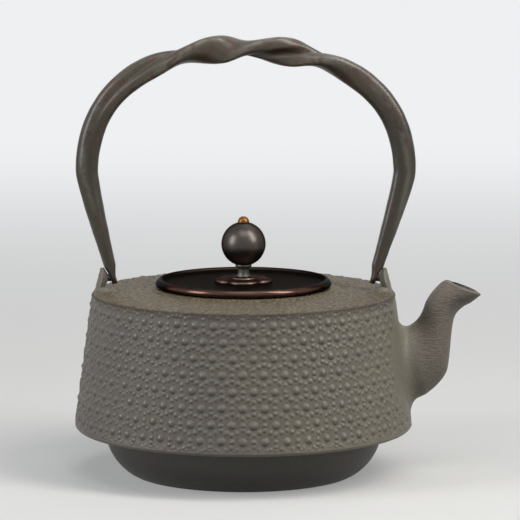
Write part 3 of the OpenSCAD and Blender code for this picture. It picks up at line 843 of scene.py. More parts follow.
class KETTLE_OT_pot(bpy.types.Operator):
    """Makes the pot: bowl, overhanging drum with the hollows of its pattern, shoulder and mouth"""

    bl_idname = "kettle.pot"
    bl_label = "Pot"

    def execute(self, context):
        sides = SIDES_PER_STONE * sizes("hail").count
        spout = sizes("spout")
        points = lathe_points(pot_profile(), sides)
        kept = 1 - pot_relief(points) / np.maximum(from_axis(points), 1e-6)
        points[..., 0] *= kept
        points[..., 1] *= kept
        points[..., 2] += shoulder_relief(points)
        pot = make_piece("pot", points, grid_faces(len(points), sides), 50)
        cut(pot, lathe_along_x("port", rod(spout.port_r, PORT_LENGTH), 64, PORT_FROM, spout.port_z))
        dress(pot, cast_iron_pot, "kettle", "kettle_body")
        return {"FINISHED"}


# ---- Hailstones ----

WOBBLE = 0.22 * MM
TOP_MARGIN = 1.3 * MM
LIP_MARGIN = 2.6 * MM
LIP_BEADS_AT = 3.0 * MM
FADE = 7 * MM
SMALLEST = 0.25
# Rise of a cell's edge beads above its row, in pitches, and how far every second one stands off it
EDGE_RISE, EDGE_SWING = 0.54, 0.146


def hail_inputs():
    """The inputs of the hailstones' tree, by name."""
    pot, hail, crease_z = sizes("pot"), sizes("hail"), crease_height()
    return {
        "Stones": hail.count, "Rows": hail.rows, "Lip Beads": hail.lip_beads, "Pitch": hail.pitch,
        "Top": crease_z - hail.top_drop, "Crease": crease_z, "Crease Radius": pot.crease_r,
        "Taper": drum_taper(), "Lip": pot.bowl_h, "Widest": BODY_HIGH.y - 0.02 * MM,
        "Stone Radius": hail.stone_r, "Stone Height": hail.stone_h, "Stone Sink": hail.sink + hail.hollow,
        "Bead Radius": hail.bead_r, "Bead Height": hail.bead_h, "Bead Sink": hail.sink + 0.20 * MM,
        "Root": sizes("spout").port_z, "Smooth Radius": hail.smooth_r, "Phase": hail.phase,
        "Drift": hail.drift, "Material": finish_of(cast_iron_pot),
    }


def hail_tree(inputs):
    """Geometry nodes that set large stones in rows round the drum and beads along the cells' edges."""
    tree = bpy.data.node_groups.new("hailstones", "GeometryNodeTree")
    tree.interface.new_socket("Geometry", in_out="OUTPUT", socket_type="NodeSocketGeometry")
    kinds = {int: "Int", float: "Float", bpy.types.Material: "Material"}
    for name, value in inputs.items():
        kind = kinds[type(value)]
        tree.interface.new_socket(name, in_out="INPUT", socket_type="NodeSocket" + kind)
    n = Nodes(tree)
    group = n.add("NodeGroupInput").socket.node
    given = {name: Value(n, group.outputs[name]) for name in inputs}
    step = TURN / given["Stones"]

    def stud(name, sides, steps):
        """A domed stone on a flat foot, with its height kept as an attribute; its height and its sink."""
        radius, height = given[name + " Radius"], given[name + " Height"]
        cone = n.add("GeometryNodeMeshCone", {
            "Vertices": sides, "Side Segments": steps, "Radius Bottom": radius, "Depth": height,
        })
        x, y, z = n.parts(n.add("GeometryNodeInputPosition"))
        share = z / height
        dome = n.vector(x, y, (share * (2 - share)) ** 1.5 * height)
        domed = n.add("GeometryNodeSetPosition", {"Geometry": cone, "Position": dome})
        # the crown share also paints the stones' tops paler in the finish, partly as rubbed wear and partly
        # as a painted highlight
        crown = {"Geometry": domed, "Name": "crown", "Value": share}
        return n.add("GeometryNodeStoreNamedAttribute", crown), height, given[name + " Sink"]

    def scatter(amount, turn, z, stone, height, sink, grow, seed):
        """Sets stones at turns and heights, square to the drum and inside its widest radius."""
        limits = {"Min": (-1, -1, -1), "Max": (1, 1, 1), "Seed": seed}
        wobble = n.parts(n.add("FunctionNodeRandomValue", limits, data_type="FLOAT_VECTOR"))
        z = (z + wobble[1] * WOBBLE).least(given["Crease"] - TOP_MARGIN)
        radius = given["Crease Radius"] + (given["Crease"] - z) * given["Taper"] - sink
        radius = radius.least(given["Widest"] - height * (1 + grow))
        drift = given["Phase"] + given["Drift"] * (turn + DRIFT_AT).cos() ** DRIFT_POWER
        turn = turn + drift * step + wobble[0] * WOBBLE / radius
        bearing = (turn - (turn / TURN).round() * TURN) * radius
        from_root = distance(bearing, z - given["Root"])
        shown = ((from_root - given["Smooth Radius"]) / FADE).least(1.0).most(0.0)
        size = shown * shown * (3 - 2 * shown) * (1 + wobble[2] * grow)
        breadth = size * 0.3 + 0.7
        place = n.vector(radius * turn.cos(), radius * turn.sin(), z)
        outward = n.vector(turn.cos(), turn.sin(), given["Taper"])
        hidden = {0: size < SMALLEST, 1: z < given["Lip"] + LIP_MARGIN}
        return n.add("GeometryNodeInstanceOnPoints", {
            "Points": n.add("GeometryNodePoints", {"Count": amount, "Position": place}), "Instance": stone,
            "Rotation": n.add("FunctionNodeAlignRotationToVector", {"Vector": outward}, axis="Z"),
            "Selection": n.add("FunctionNodeBooleanMath", hidden, operation="NOR"),
            "Scale": n.vector(breadth, breadth, size),
        })

    def row_and_column(number):
        """The row of a numbered stone, and its column, half a stone further round in every second row."""
        row = (number / given["Stones"]).floor()
        return row, number - row * given["Stones"] + (row % 2) * 0.5

    index = n.add("GeometryNodeInputIndex")
    amount = given["Stones"] * given["Rows"]
    row, column = row_and_column(index)
    row_z = given["Top"] - row * given["Pitch"]
    cell = (index / 4).floor()
    quarter = index - cell * 4
    cell_row, cell_column = row_and_column(cell)
    rise = given["Pitch"] * (EDGE_RISE + EDGE_SWING * (quarter * (math.pi / 2)).cos())
    edge_z = given["Top"] - cell_row * given["Pitch"] + rise
    edge_amount = 4 * given["Stones"] * (given["Rows"] + 1)
    lip_turn, lip_z = index * TURN / given["Lip Beads"], given["Lip"] + LIP_BEADS_AT
    bead, height, sink = stud("Bead", 8, 3)
    joined = n.add("GeometryNodeJoinGeometry")
    for stones in (
        scatter(amount, column * step, row_z, *stud("Stone", 12, 5), 0.08, 3),
        scatter(amount, (column + 0.5) * step, row_z, bead, height, sink, 0.16, 5),
        scatter(edge_amount, (cell_column + quarter / 4) * step, edge_z, bead, height, sink, 0.16, 7),
        scatter(given["Lip Beads"], lip_turn, lip_z, bead, height, sink + 0.2 * MM, 0.12, 11),
    ):
        n.put(joined.socket.node.inputs[0], stones)
    real = n.add("GeometryNodeRealizeInstances", {"Geometry": joined})
    done = n.add("GeometryNodeSetMaterial", {"Geometry": real, "Material": given["Material"]})
    n.put(tree.nodes.new("NodeGroupOutput").inputs[0], done)
    return tree


class KETTLE_OT_hailstones(bpy.types.Operator):
    """Sets the hailstones on the drum: large stones in offset rows, and beads along the cells between"""

    bl_idname = "kettle.hailstones"
    bl_label = "Hailstones"

    def execute(self, context):
        inputs = hail_inputs()
        stones = bpy.data.objects.new("hailstones", bpy.data.meshes.new("hailstones"))
        context.scene.collection.objects.link(stones)
        modifier = stones.modifiers.new("nodes", "NODES")
        modifier.node_group = hail_tree(inputs)
        for item in modifier.node_group.interface.items_tree:
            if item.in_out == "INPUT":
                modifier[item.identifier] = inputs[item.name]
        bake(stones)
        smooth(stones.data, 70)
        dress(stones, cast_iron_pot, "kettle")
        return {"FINISHED"}


# ---- Spout ----

# Sections from the drum to the tip: reach and rise of the upper edge, reach and rise of the lower
# edge, as shares of the spout's reach and rise, and the half breadth in millimetres
SPOUT_SECTIONS = [
    [-0.05, 0.38, 0.09, -0.61, 15.0],
    [0.05, 0.41, 0.25, -0.48, 13.3],
    [0.14, 0.47, 0.42, -0.34, 11.7],
    [0.20, 0.54, 0.54, -0.18, 10.7],
    [0.24, 0.62, 0.58, 0.02, 10.0],
    [0.28, 0.73, 0.61, 0.35, 9.3],
    [0.35, 0.84, 0.65, 0.55, 8.8],
    [0.43, 0.93, 0.75, 0.66, 8.5],
    [0.49, 0.98, 0.86, 0.72, 8.3],
    [0.54, 1.00, 1.00, 0.83, 8.0],
]
SPOUT_BEAK = 0.3
SPOUT_SET_IN = 0.12 * MM
LIP_BACK = 0.9 * MM


def spout_rings(u, sides, inward):
    """Rings of the spout at shares u of its length, moved in by a thickness."""
    s = sizes("spout")
    u, angle = u[:, None], round_angles(sides)[None, :]
    cosine, sine = np.cos(angle), np.sin(angle)
    row = smooth_row(SPOUT_SECTIONS, u * (len(SPOUT_SECTIONS) - 1))
    upper, lower = row[..., :2] * [s.reach, s.rise], row[..., 2:4] * [s.reach, s.rise]
    half = np.linalg.norm(upper - lower, axis=-1) / 2
    to_port = (1 - ease(u * 2.2)) * (inward > 0)
    middle = (1 - to_port)[..., None] * (upper + lower) / 2
    half_h = (half - inward) * (1 - to_port) + s.port_r * to_port
    half_w = (row[..., 4] * MM - inward) * (1 - to_port) + s.port_r * to_port
    along = (upper - lower) / (2 * half)[..., None]
    beak = 1 - SPOUT_BEAK * ease(u * 3 - 2) * np.maximum(-sine, 0) ** 3
    p = middle + (half_h * sine)[..., None] * along
    y = half_w * cosine * beak
    z = s.port_z + p[..., 1]
    on_drum = np.sqrt(np.maximum(drum_radius(z) ** 2 - y**2, 0))
    keep = ease(u * 7)
    x = on_drum * (1 - keep) + (drum_radius(s.port_z) + p[..., 0]) * keep
    if inward:
        return np.stack([x, y, z], -1)
    # a fillet at the root: the outline spreads as it nears the drum
    height = np.maximum(x - on_drum, 0)
    spread = s.fillet - np.sqrt(np.maximum(s.fillet**2 - np.maximum(s.fillet - height, 0) ** 2, 0))
    out_y, out_z = cosine / half_w, sine / half_h
    size = np.hypot(out_y, out_z)
    y = y + spread * out_y / size
    z = z + spread * out_z / size
    moved = np.sqrt(np.maximum(drum_radius(z) ** 2 - y**2, 0))
    x = np.where(height < s.fillet, moved + height - SPOUT_SET_IN * (height < 0.3 * MM), x)
    return np.stack([x, y, z], -1)


class KETTLE_OT_spout(bpy.types.Operator):
    """Makes the spout: one cast shell from a filleted root on the drum to a beaked lip"""

    bl_idname = "kettle.spout"
    bl_label = "Spout"

    def execute(self, context):
        sides, share = 80, np.linspace(0, 1, 96)
        outer = spout_rings(share**1.5, sides, 0)
        inner = spout_rings(share[::-2] ** 1.2, sides, sizes("spout").wall)
        back = outer[-1] - outer[-4]
        back = back / np.linalg.norm(back, axis=-1, keepdims=True)
        outer[-1] -= back * LIP_BACK
        outer[-2] -= back * (LIP_BACK * 2 / 3)
        lip = [
            outer[-1] * (1 - k) + inner[0] * k - back * 0.5 * MM * (1 - math.sin(math.pi * (0.15 + 0.7 * k)))
            for k in (0.12, 0.3, 0.5, 0.7, 0.88)
        ]
        cast = cast_noise(outer, 6, 2) * 0.10 * MM * ease(share * 6)[:, None]
        outer += cast[..., None] * np.array([0.4, 1, 0.4])
        rings = np.concatenate([outer, lip, inner])
        spout = make_piece("spout_shell", rings, grid_faces(len(rings), sides, loop=True), 50)
        dress(spout, cast_iron_pot, "kettle", "spout")
        return {"FINISHED"}


# ---- Ears ----

# Levels of an ear: share of its height, offset of its middle in millimetres, half thickness as a
# share of the ear's thickness, and half breadth as a share of its breadth
EAR_LEVELS = [
    [0.00, 0.00, 0.89, 1.00],
    [0.10, -0.25, 0.79, 0.90],
    [0.34, -0.38, 0.70, 0.76],
    [0.58, -0.28, 0.54, 0.62],
    [0.72, -0.02, 0.43, 0.54],
    [0.85, 0.10, 0.31, 0.45],
    [0.95, 0.40, 0.23, 0.33],
    [1.00, 0.45, 0.13, 0.18],
]
EAR_LEAN = 0.5 * MM
EAR_FILLET = 2.4 * MM
EAR_HOLLOW_R = 14 * MM
EAR_HOLLOW_SLOPE = 0.6
FOOT_ROOM = 1.2 * MM
BORE_ROOM, BORE_LENGTH = 0.1 * MM, 20 * MM


def blocky(wave, power):
    """A sine or cosine, bent so that a round section becomes somewhat square."""
    return np.sign(wave) * np.abs(wave) ** power


def ear_face():
    """Distance of an ear's inner face from the middle, at the axis."""
    return sizes("handle").ear_x - EAR_LEAN - sizes("handle").ear_t / 2


def ear_points(rings, sides):
    """Rings of points of the right ear, spread into a fillet on the shoulder."""
    h, crease_r = sizes("handle"), sizes("pot").crease_r
    angle = round_angles(sides)[None, :]
    cosine, sine = np.cos(angle), np.sin(angle)
    row = smooth_row(EAR_LEVELS, np.linspace(0, 1, rings)[:, None] * (len(EAR_LEVELS) - 1))
    share = row[..., 0]
    x = h.ear_x + row[..., 1] * MM + row[..., 2] * h.ear_t * blocky(cosine, 0.85)
    y = row[..., 3] * h.ear_breadth * blocky(sine, 0.85)
    seat = shoulder_height(np.minimum(np.hypot(x, y), crease_r))
    z = seat + (PIVOT_Z + h.ear_top - seat) * share
    spread = EAR_FILLET - np.sqrt(EAR_FILLET**2 - np.maximum(EAR_FILLET - (z - seat), 0) ** 2)
    inside = ease((crease_r - 0.6 * MM - np.hypot(x + spread * cosine, y)) / (1.5 * MM)) * 0.9 + 0.1
    x = x + spread * cosine * inside
    y = y + spread * sine
    moved_seat = shoulder_height(np.minimum(np.hypot(x, y), crease_r))
    z = z + (moved_seat - seat) * (1 - share) - 0.4 * MM * (share <= 0)
    return np.stack([x, y, z], -1)


class KETTLE_OT_ears(bpy.types.Operator):
    """Makes the two ears that carry the handle"""

    bl_idname = "kettle.ears"
    bl_label = "Ears"

    def execute(self, context):
        h, face_x, hollow_r = sizes("handle"), ear_face(), EAR_HOLLOW_R
        cone = [[0, -hollow_r], [hollow_r, -hollow_r], [hollow_r, hollow_r * EAR_HOLLOW_SLOPE], [0, 0]]
        floor_drop = h.foot_t / 2 + FOOT_ROOM
        for node in ("ear_right", "ear_left"):
            ear = make_piece(node + "_cast", *capped(ear_points(44, 56)), 60)
            hollow = lathe_along_x("hollow", cone, 96, face_x, PIVOT_Z)
            under = lathe("under", rod(3 * hollow_r, hollow_r), 32)
            under.data.transform(Matrix.Translation((face_x, 0, PIVOT_Z - floor_drop - hollow_r)))
            cut(hollow, under)
            bore = lathe_along_x("bore", rod(h.pin_r + BORE_ROOM, BORE_LENGTH), 40, face_x - 2 * MM, PIVOT_Z)
            cut(ear, hollow, bore)
            if node == "ear_left":
                mirror(ear)
            dress(ear, cast_iron_pot, "kettle", node)
        return {"FINISHED"}


# ---- Handle ----

# Turn of the bar: places along the handle and shares of half its twist
TWIST_ROWS = [
    [-0.50, -1.00], [-0.37, -1.00], [-0.28, -0.87], [-0.20, -0.67], [-0.07, -0.33], [0.005, 0.00],
    [0.12, 0.33], [0.22, 0.67], [0.30, 0.87], [0.39, 1.00], [0.50, 1.00],
]
TWIST_TURNS = 1.5
# Width of the bar: places along a half and shares of its full width
WIDTH_ROWS = [
    [0.00, 0.94], [0.14, 1.00], [0.28, 0.90], [0.40, 0.83], [0.56, 0.815], [0.655, 0.775], [0.75, 0.68],
    [0.84, 0.555], [0.89, 0.485], [0.94, 0.43],
]
# Turn of a leg's section: places along a half and degrees
LEG_ROWS = [
    [0.00, 0], [0.25, 0], [0.38, 10], [0.50, 15], [0.60, 10], [0.70, -4], [0.80, -14], [0.90, -8], [1.00, 0],
]
# Groove between the bar's two ridges: places along the handle, depth as a share of the bar's half
# thickness, and breadth as a share of its half width
GROOVE_ROWS = [
    [-1.00, 0.00, 0.40], [-0.62, 0.00, 0.40], [-0.42, 0.30, 0.30], [-0.25, 0.46, 0.28], [-0.08, 0.45, 0.26],
    [0.00, 0.55, 0.25], [0.06, 0.88, 0.22], [0.15, 0.86, 0.22], [0.24, 0.45, 0.28], [0.38, 0.10, 0.40],
    [0.60, 0.00, 0.40], [1.00, 0.00, 0.40],
]
CREST_AT = 0.30
CREST_BREADTH = 0.26
CREST_H = 0.25 * MM
SMOOTHINGS = 60
WIDE_AT = 0.47
FOOT_LEAN = 0.3
FOOT_TAPER = 8 * MM
FOOT_THINS_OVER = 40 * MM
FOOT_GAP = 0.3 * MM
END_ROUND = 3.4 * MM
PIN_SHORT = 0.5 * MM
HAMMER_H, DENT_H = 0.16 * MM, 0.05 * MM


def foot_x():
    """Distance of a foot's middle from the kettle's middle, at the axis."""
    return ear_face() - FOOT_GAP - sizes("handle").foot_w / 2


class MiddleLine:
    """The handle's middle line; u is -1 at the left foot, 0 at the crown and 1 at the right foot."""

    def __init__(self):
        h = sizes("handle")
        self.halves = {-1: self.half(h.reach_left), 1: self.half(h.reach_right)}

    def half(self, reach):
        """Points and running lengths of a half: from the crown out to its reach, then in to the foot."""
        h = sizes("handle")
        wide_z, crown_z = PIVOT_Z + h.rise * WIDE_AT, PIVOT_Z + h.rise
        out = np.array([reach, wide_z])
        end = np.array([foot_x() - FOOT_LEAN * h.drop, PIVOT_Z - h.drop])
        crown = [[0, crown_z], [reach * 0.51, crown_z], [reach, wide_z + (crown_z - wide_z) * 0.73], out]
        leg = [out, [reach, wide_z - h.rise * 0.05], end + h.rise * 0.1 * np.array([FOOT_LEAN, 1]), end]
        t = np.linspace(0, 1, 121)
        points = np.concatenate([cubic(crown, t[:-1]), cubic(leg, t)])
        for _ in range(SMOOTHINGS):
            points[1:-1] = (points[:-2] + 2 * points[1:-1] + points[2:]) / 4
        steps = np.linalg.norm(np.diff(points, axis=0), axis=1)
        return points, np.concatenate([[0], np.cumsum(steps)])

    def length(self, u):
        return np.where(u < 0, self.halves[-1][1][-1], self.halves[1][1][-1])

    def point(self, u):
        made = []
        for sign, (points, lengths) in self.halves.items():
            run = np.clip(u * sign, 0, 1) * lengths[-1]
            x, z = (np.interp(run, lengths, points[:, k]) for k in (0, 1))
            made.append(np.stack([sign * x, z], -1))
        return np.where((u < 0)[..., None], *made)

    def tangent(self, u):
        step = 0.012
        d = self.point(np.minimum(u + step, 1)) - self.point(np.maximum(u - step, -1))
        return d / np.linalg.norm(d, axis=-1, keepdims=True)


def handle_shell(sides=56):
    """Rings of points of the handle's bar, and how much of a ridge each point is on."""
    h, line = sizes("handle"), MiddleLine()
    halves = []
    for sign in (-1, 1):
        end = END_ROUND / line.length(sign)
        tip = 1 - end * (1 - np.sin(np.radians(np.linspace(0, 84, 10))))
        halves.append(sign * np.concatenate([np.linspace(0, 1 - end, 190)[:-1], tip]))
    u = np.concatenate([halves[0][::-1], halves[1][1:]])
    point, tangent = line.point(u), line.tangent(u)
    from_foot = (1 - np.abs(u)) * line.length(u)

    # the turn, width and thickness of the bar at each ring
    turn = math.pi * TWIST_TURNS * keyed_row(TWIST_ROWS, np.clip(u, -0.45, 0.45))[:, 1]
    turn = (turn - np.radians(keyed_row(LEG_ROWS, np.abs(u))[:, 1]) * np.sign(turn))[:, None]
    bar = h.bar_w * keyed_row(WIDTH_ROWS, np.minimum(np.abs(u), 0.94))[:, 1]
    width = h.foot_w + (bar - h.foot_w) * ease((from_foot - h.drop) / FOOT_TAPER)
    full = h.foot_t + (h.bar_t - h.foot_t) * ease((from_foot - h.drop) / FOOT_THINS_OVER)
    ending = np.sqrt(np.maximum(1 - (1 - from_foot / END_ROUND) ** 2, 0.01))
    thick = full * np.where(from_foot < END_ROUND, ending, 1)

    # a blunt section with a groove along one face, and a soft crest along the legs' outer side
    groove = keyed_row(GROOVE_ROWS, u)
    angle = round_angles(sides)[None, :]
    sine, cosine = np.sin(angle), np.cos(angle)
    depth = np.where(sine < 0, groove[:, 1:2], 0) * np.exp(-((cosine / groove[:, 2:]) ** 2))
    across = width[:, None] / 2 * cosine
    deep = thick[:, None] / 2 * blocky(sine, 0.9) * (1 - depth)
    side = np.sin(turn)
    leg = (ease((np.abs(u) - 0.28) / 0.2) * ease((0.92 - np.abs(u)) / 0.2))[:, None]
    crest = leg * ease(-2 * sine * side) * np.exp(-(((cosine * side - CREST_AT) / CREST_BREADTH) ** 2))
    deep = deep + np.sign(sine) * crest * CREST_H
    outward = across * np.sin(turn) + deep * np.cos(turn)
    forward = across * np.cos(turn) - deep * np.sin(turn)
    x, z = point[:, :1] - tangent[:, 1:] * outward, point[:, 1:] + tangent[:, :1] * outward
    points = np.stack([x, -forward, z], -1)

    hammer = cast_noise(points, 9, 5) * HAMMER_H + cast_noise(points, 3.5, 6) * DENT_H
    spoke = points - points.mean(1, keepdims=True)
    reach = np.maximum(np.linalg.norm(spoke, axis=-1, keepdims=True), 0.1 * MM)
    points = points + spoke / reach * (hammer * ease(from_foot / (12 * MM))[:, None])[..., None]
    # the ridge share paints pale ridges in the handle's finish: partly rubbed wear, partly a painted
    # highlight
    return points, np.clip(np.abs(cosine) ** 4 * (1 - leg) + crest * 0.8, 0, 1)


def make_pin(side):
    """A pin with a rounded end, from the middle of a foot into its ear."""
    h = sizes("handle")
    start, end = foot_x(), h.ear_x - EAR_LEAN + h.ear_t / 2 - PIN_SHORT
    r, tip = h.pin_r, h.pin_r * 0.3
    rounding = [[r, end - tip], [r - tip * 0.3, end - tip * 0.3], [r - tip, end]]
    pin = lathe_along_x("pin", [[0, start], [r, start], *rounding, [0, end]], 40, 0, PIVOT_Z)
    if side < 0:
        mirror(pin)
    return pin


class KETTLE_OT_handle(bpy.types.Operator):
    """Makes the bail: one bar, twisted at its top, with a pin at each foot"""

    bl_idname = "kettle.handle"
    bl_label = "Handle"

    def execute(self, context):
        points, ridge = handle_shell()
        handle = make_piece("bail", *capped(points), 60)
        values = np.append(ridge, [0.0, 0.0])[: len(handle.data.vertices)]
        ridges = handle.data.attributes.new("ridge", "FLOAT", "POINT")
        ridges.data.foreach_set("value", values.astype(np.float32))
        join(handle, [make_pin(side) for side in (1, -1)])
        dress(handle, forged_iron, "handle", "handle")
        return {"FINISHED"}


# ---- Lid and knob ----

BOLT_HOLE = 1.6 * MM
BOLT_SHANK = 1.5 * MM
BALL_SUNK = 1.1 * MM
PETALS = 5
PETAL_AT = 6.6 * MM
STEP_R = 6.2 * MM
# The neck's outline: shares of its radius and of its height
NECK_SHARES = [
    [0.80, 0.0], [0.84, 0.03], [0.82, 0.10], [0.76, 0.14], [0.715, 0.24], [0.70, 0.38], [0.70, 0.55],
    [0.73, 0.66], [0.82, 0.74], [0.97, 0.79], [1.0, 0.84], [1.0, 0.91], [0.96, 0.97], [0.88, 1.0],
]


class KETTLE_OT_lid(bpy.types.Operator):
    """Makes the lid: a flat plate with a rounded rim, and the rosette that the knob stands on"""

    bl_idname = "kettle.lid"
    bl_label = "Lid"

    def execute(self, context):
        low, top, plate_r = PLATE_LOW.z, SEAT_LOW.z, PLATE_HIGH.y
        rim = (PLATE_HIGH.z - PLATE_LOW.z) / 2
        bead = arc([plate_r - rim, low + rim], rim, np.radians(np.linspace(-90, 142, 40)))
        face_r = bead[-1, 0]
        profile = np.concatenate([
            [[BOLT_HOLE, low], [plate_r * 0.5, low]], bead,
            [[face_r - 0.5 * MM, top + 0.28 * MM], [face_r - 1.2 * MM, top + 0.06 * MM]],
            [[face_r - 2.2 * MM, top]],
            [[plate_r * 0.62, top - 0.05 * MM], [-SEAT_LOW.y, top - 0.02 * MM], [BOLT_HOLE, top - 0.02 * MM]],
        ])
        dress(lathe("lid_cover", profile, 256, 50, loop=True), lid_patina, "lid", "lid_plate")
        dress(make_rosette("rosette", 240), lid_patina, "lid", "knob_seat")
        return {"FINISHED"}


def make_rosette(name, sides):
    """A rosette of domed petals round a raised step."""
    low, high = SEAT_LOW.z, SEAT_HIGH.z
    step_z = high - 0.7 * MM
    angle, sector = round_angles(sides), TURN / PETALS
    off = (angle + math.pi / 2 + sector / 2) % sector - sector / 2
    petal_r = -SEAT_LOW.y - PETAL_AT
    outline = PETAL_AT * np.cos(off) + np.sqrt(petal_r**2 - (PETAL_AT * np.sin(off)) ** 2)
    petals = [
        (0, low), (1, low), (1, low + 0.6 * MM), (0.985, low + 1.0 * MM), (0.95, low + 1.3 * MM),
        (0.90, low + 1.45 * MM), (0.80, low + 1.5 * MM), (0.62, step_z - 0.12 * MM),
    ]
    step = [
        (STEP_R + 0.3 * MM, step_z - 0.1 * MM), (STEP_R, step_z + 0.1 * MM),
        (STEP_R - 0.05 * MM, high - 0.25 * MM), (STEP_R - 0.4 * MM, high), (0, high),
    ]
    rings = np.array([
        np.stack([r * np.cos(angle), r * np.sin(angle), z + 0 * angle], -1)
        for r, z in [(outline * share, z) for share, z in petals] + step
    ])
    # a crease runs in from each notch between two petals
    crease = np.exp(-((sector / 2 - np.abs(off)) / 0.10) ** 2)[None, :]
    crease = crease * ease((from_axis(rings) - STEP_R - 0.3 * MM) / (2 * MM))
    rings[..., 2] -= crease * 0.55 * MM * (rings[..., 2] > low + 0.8 * MM)
    return make_piece(name, rings, grid_faces(len(rings), sides), 50)


class KETTLE_OT_knob(bpy.types.Operator):
    """Makes the knob: a waisted neck, a ball and the domed head of the bolt through them"""

    bl_idname = "kettle.knob"
    bl_label = "Knob"

    def execute(self, context):
        neck_r, neck_h, z = NECK_HIGH.y, NECK_HIGH.z - NECK_LOW.z, NECK_LOW.z
        side = [[neck_r * a, z + neck_h * b] for a, b in NECK_SHARES]
        profile = resample([[BOLT_HOLE, z], *side, [BOLT_HOLE, z + neck_h]], 0.35 * MM)
        neck = lathe("neck", profile, 96, 50, loop=True)
        dress(neck, neck_bronze, "lid", "knob_neck")

        ball_r = BALL_HIGH.y
        ball_z = BALL_LOW.z + ball_r - BALL_SUNK
        low, high = (math.asin((end - ball_z) / ball_r) for end in (BALL_LOW.z, BALL_HIGH.z))
        side = arc([0, ball_z], ball_r, np.linspace(low, high, 72))
        profile = np.concatenate([[[BOLT_HOLE, BALL_LOW.z]], side, [[BOLT_HOLE, BALL_HIGH.z]]])
        dress(lathe("ball", profile, 128, 50, loop=True), ball_bronze, "lid", "knob_ball")

        shank, head_r, head_low, head_high = BOLT_SHANK, BOLT_HIGH.y, BALL_HIGH.z, BOLT_HIGH.z
        dome_h = head_high - head_low - 0.4 * MM
        dome = arc([0, head_high - dome_h], np.array([head_r, dome_h]), np.linspace(0, math.pi / 2, 18))
        profile = np.concatenate([
            [[0, BOLT_LOW.z], [shank - 0.3 * MM, BOLT_LOW.z], [shank, BOLT_LOW.z + 0.3 * MM]],
            [[shank, head_low], [head_r - 0.15 * MM, head_low], [head_r, head_low + 0.15 * MM]], dome,
        ])
        dress(lathe("bolt", profile, 64, 50), bolt_brass, "lid", "knob_bolt")
        return {"FINISHED"}


class KETTLE_OT_lid_fittings(bpy.types.Operator):
    """Finishes the CAD's ring, washer and nut under the lid"""

    bl_idname = "kettle.lid_fittings"
    bl_label = "Lid fittings"

    def execute(self, context):
        for node, make in (("lid_flange", lid_patina), ("lid_washer", bolt_brass), ("lid_nut", bolt_brass)):
            paint(frame["nodes"][node], make)
        return {"FINISHED"}


# ---- Stage ----

CAMERA_DISTANCE = 1.8
CAMERA_PITCH = math.radians(7.9)
CAMERA_AIM_Z = 106.9 * MM
CAMERA_LENS = 249.06
AXIS_SHIFT = 0.0317
LIGHT_AIM = Vector((0, 0, 0.1))
LIGHTS_AROUND_Z = 0.09
# Lights: bearing, with 0 in front and positive to the right, elevation, distance in metres, width and
# height, power and tint
LIGHTS = {
    "left_softbox": (-65, 21, 1.3, (0.50, 0.80), 7.4, (1, 1, 1)),
    "right_softbox": (59, 41, 1.3, (0.42, 1.2), 13.0, (1.0, 0.975, 0.925)),
    "front_softbox": (-4, 64, 1.4, (0.7, 0.7), 3.4, (1, 1, 1)),
    "back_softbox": (150, 62, 1.5, (0.9, 0.9), 2.0, (1, 1, 1)),
}
FLOOR_HALF = 4.0
BACKDROP_AT = 3.0
BACKDROP_H = 3.0
BACKDROP_BEND = 1.2


def make_floor():
    """A pale floor that bends up into a backdrop."""
    bend = arc([BACKDROP_AT - BACKDROP_BEND, BACKDROP_BEND], BACKDROP_BEND, np.linspace(-math.pi / 2, 0, 24))
    line = np.concatenate([[[-FLOOR_HALF, 0]], bend, [[BACKDROP_AT, BACKDROP_H]]])
    mesh = bpy.data.meshes.new("floor")
    verts = [(x, y, z) for y, z in line for x in (-FLOOR_HALF, FLOOR_HALF)]
    mesh.from_pydata(verts, [], [(2 * i, 2 * i + 1, 2 * i + 3, 2 * i + 2) for i in range(len(line) - 1)])
    mesh.shade_smooth()
    floor = bpy.data.objects.new("floor", mesh)
    bpy.context.scene.collection.objects.link(floor)
    f = Finish("floor")
    seen = f.rays_seen()
    f.set(Base_Color=f.mix(seen, (0.20, 0.20, 0.20), sizes("colours").floor), Roughness=0.9)
    glow = f.add("ShaderNodeEmission", {"Color": (0.86, 0.87, 0.88)})
    far = (f.y.ramp(0.1, 1.6) * 0.78 + 0.22) * seen
    both = f.add("ShaderNodeMixShader", {0: far, 1: Value(f, f.shader.outputs[0]), 2: glow})
    f.put(f.tree.nodes["Material Output"].inputs["Surface"], both)
    mesh.materials.append(bpy.data.materials["floor"])
    return floor


def make_light(name, bearing, elevation, distance, size, power, tint):
    """A soft light aimed at the kettle."""
    a, e = math.radians(bearing), math.radians(elevation)
    data = bpy.data.lights.new(name, "AREA")
    data.shape = "RECTANGLE"
    data.size, data.size_y = size
    data.energy, data.color = power, tint
    lamp = bpy.data.objects.new(name, data)
    level = distance * math.cos(e)
    lamp.location = (level * math.sin(a), -level * math.cos(a), LIGHTS_AROUND_Z + distance * math.sin(e))
    lamp.rotation_euler = (LIGHT_AIM - lamp.location).to_track_quat("-Z", "Y").to_euler()
    return lamp


def make_camera():
    data = bpy.data.cameras.new("camera")
    data.sensor_width, data.lens = 36, CAMERA_LENS
    data.shift_x, data.clip_start = AXIS_SHIFT, 0.05
    camera = bpy.data.objects.new("camera", data)
    out, up = CAMERA_DISTANCE * math.cos(CAMERA_PITCH), CAMERA_DISTANCE * math.sin(CAMERA_PITCH)
    camera.location = (0, -out, CAMERA_AIM_Z + up)
    camera.rotation_euler = (math.pi / 2 - CAMERA_PITCH, 0, 0)
    return camera


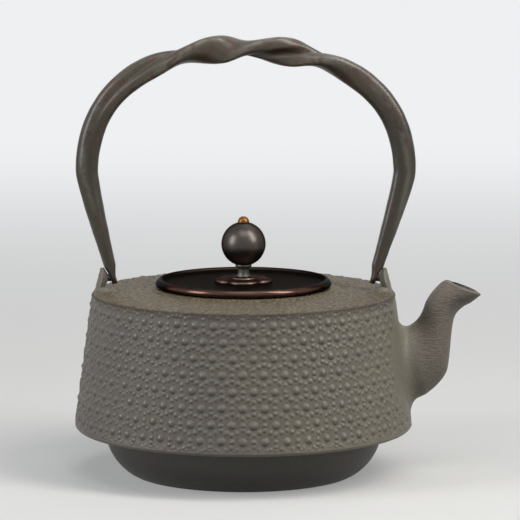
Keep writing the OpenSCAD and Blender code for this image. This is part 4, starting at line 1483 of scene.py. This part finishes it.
class KETTLE_OT_stage(bpy.types.Operator):
    """Makes the floor, the backdrop, the lights and the camera"""

    bl_idname = "kettle.stage"
    bl_label = "Stage"

    def execute(self, context):
        scene = context.scene
        make_floor()
        world = bpy.data.worlds.new("studio")
        world.use_nodes = True
        background, n = world.node_tree.nodes["Background"], Nodes(world.node_tree)
        n.put(background.inputs["Color"], (0.92, 0.95, 1.0))
        n.put(background.inputs["Strength"], n.rays_seen() * 0.76 + 0.09)
        scene.world = world
        for name, light in LIGHTS.items():
            scene.collection.objects.link(make_light(name, *light))
        scene.camera = make_camera()
        scene.collection.objects.link(scene.camera)
        scene.view_settings.view_transform = "Standard"
        return {"FINISHED"}


# ---- Panel and registration ----

GROUPS = {
    "kettle_pot": KettlePotSizes, "kettle_hail": KettleHailSizes, "kettle_spout": KettleSpoutSizes,
    "kettle_handle": KettleHandleSizes, "kettle_colours": KettleColours,
}
PIECES = (
    KETTLE_OT_pot, KETTLE_OT_hailstones, KETTLE_OT_spout, KETTLE_OT_ears, KETTLE_OT_handle,
    KETTLE_OT_lid, KETTLE_OT_knob, KETTLE_OT_lid_fittings, KETTLE_OT_stage,
)


class KETTLE_PT_panel(bpy.types.Panel):
    """Lists the kettle's pieces, sizes and colours"""

    bl_idname = "KETTLE_PT_panel"
    bl_label = "Cast Iron Kettle"
    bl_space_type = "VIEW_3D"
    bl_region_type = "UI"
    bl_category = "Kettle"

    def draw(self, context):
        for operator in PIECES:
            self.layout.operator(operator.bl_idname)
        for name in GROUPS:
            box, group = self.layout.box(), getattr(context.scene, name)
            for key in group.bl_rna.properties.keys():
                if key not in ("rna_type", "name"):
                    box.prop(group, key)


CLASSES = (*GROUPS.values(), *PIECES, KETTLE_PT_panel)


def register():
    for each in CLASSES:
        bpy.utils.register_class(each)
    for name, group in GROUPS.items():
        setattr(bpy.types.Scene, name, PointerProperty(type=group))


def unregister():
    for name in GROUPS:
        delattr(bpy.types.Scene, name)
    for each in reversed(CLASSES):
        bpy.utils.unregister_class(each)


def main():
    register()
    for operator in PIECES:
        module, name = operator.bl_idname.split(".")
        getattr(getattr(bpy.ops, module), name)()


if __name__ == "__main__":
    main()
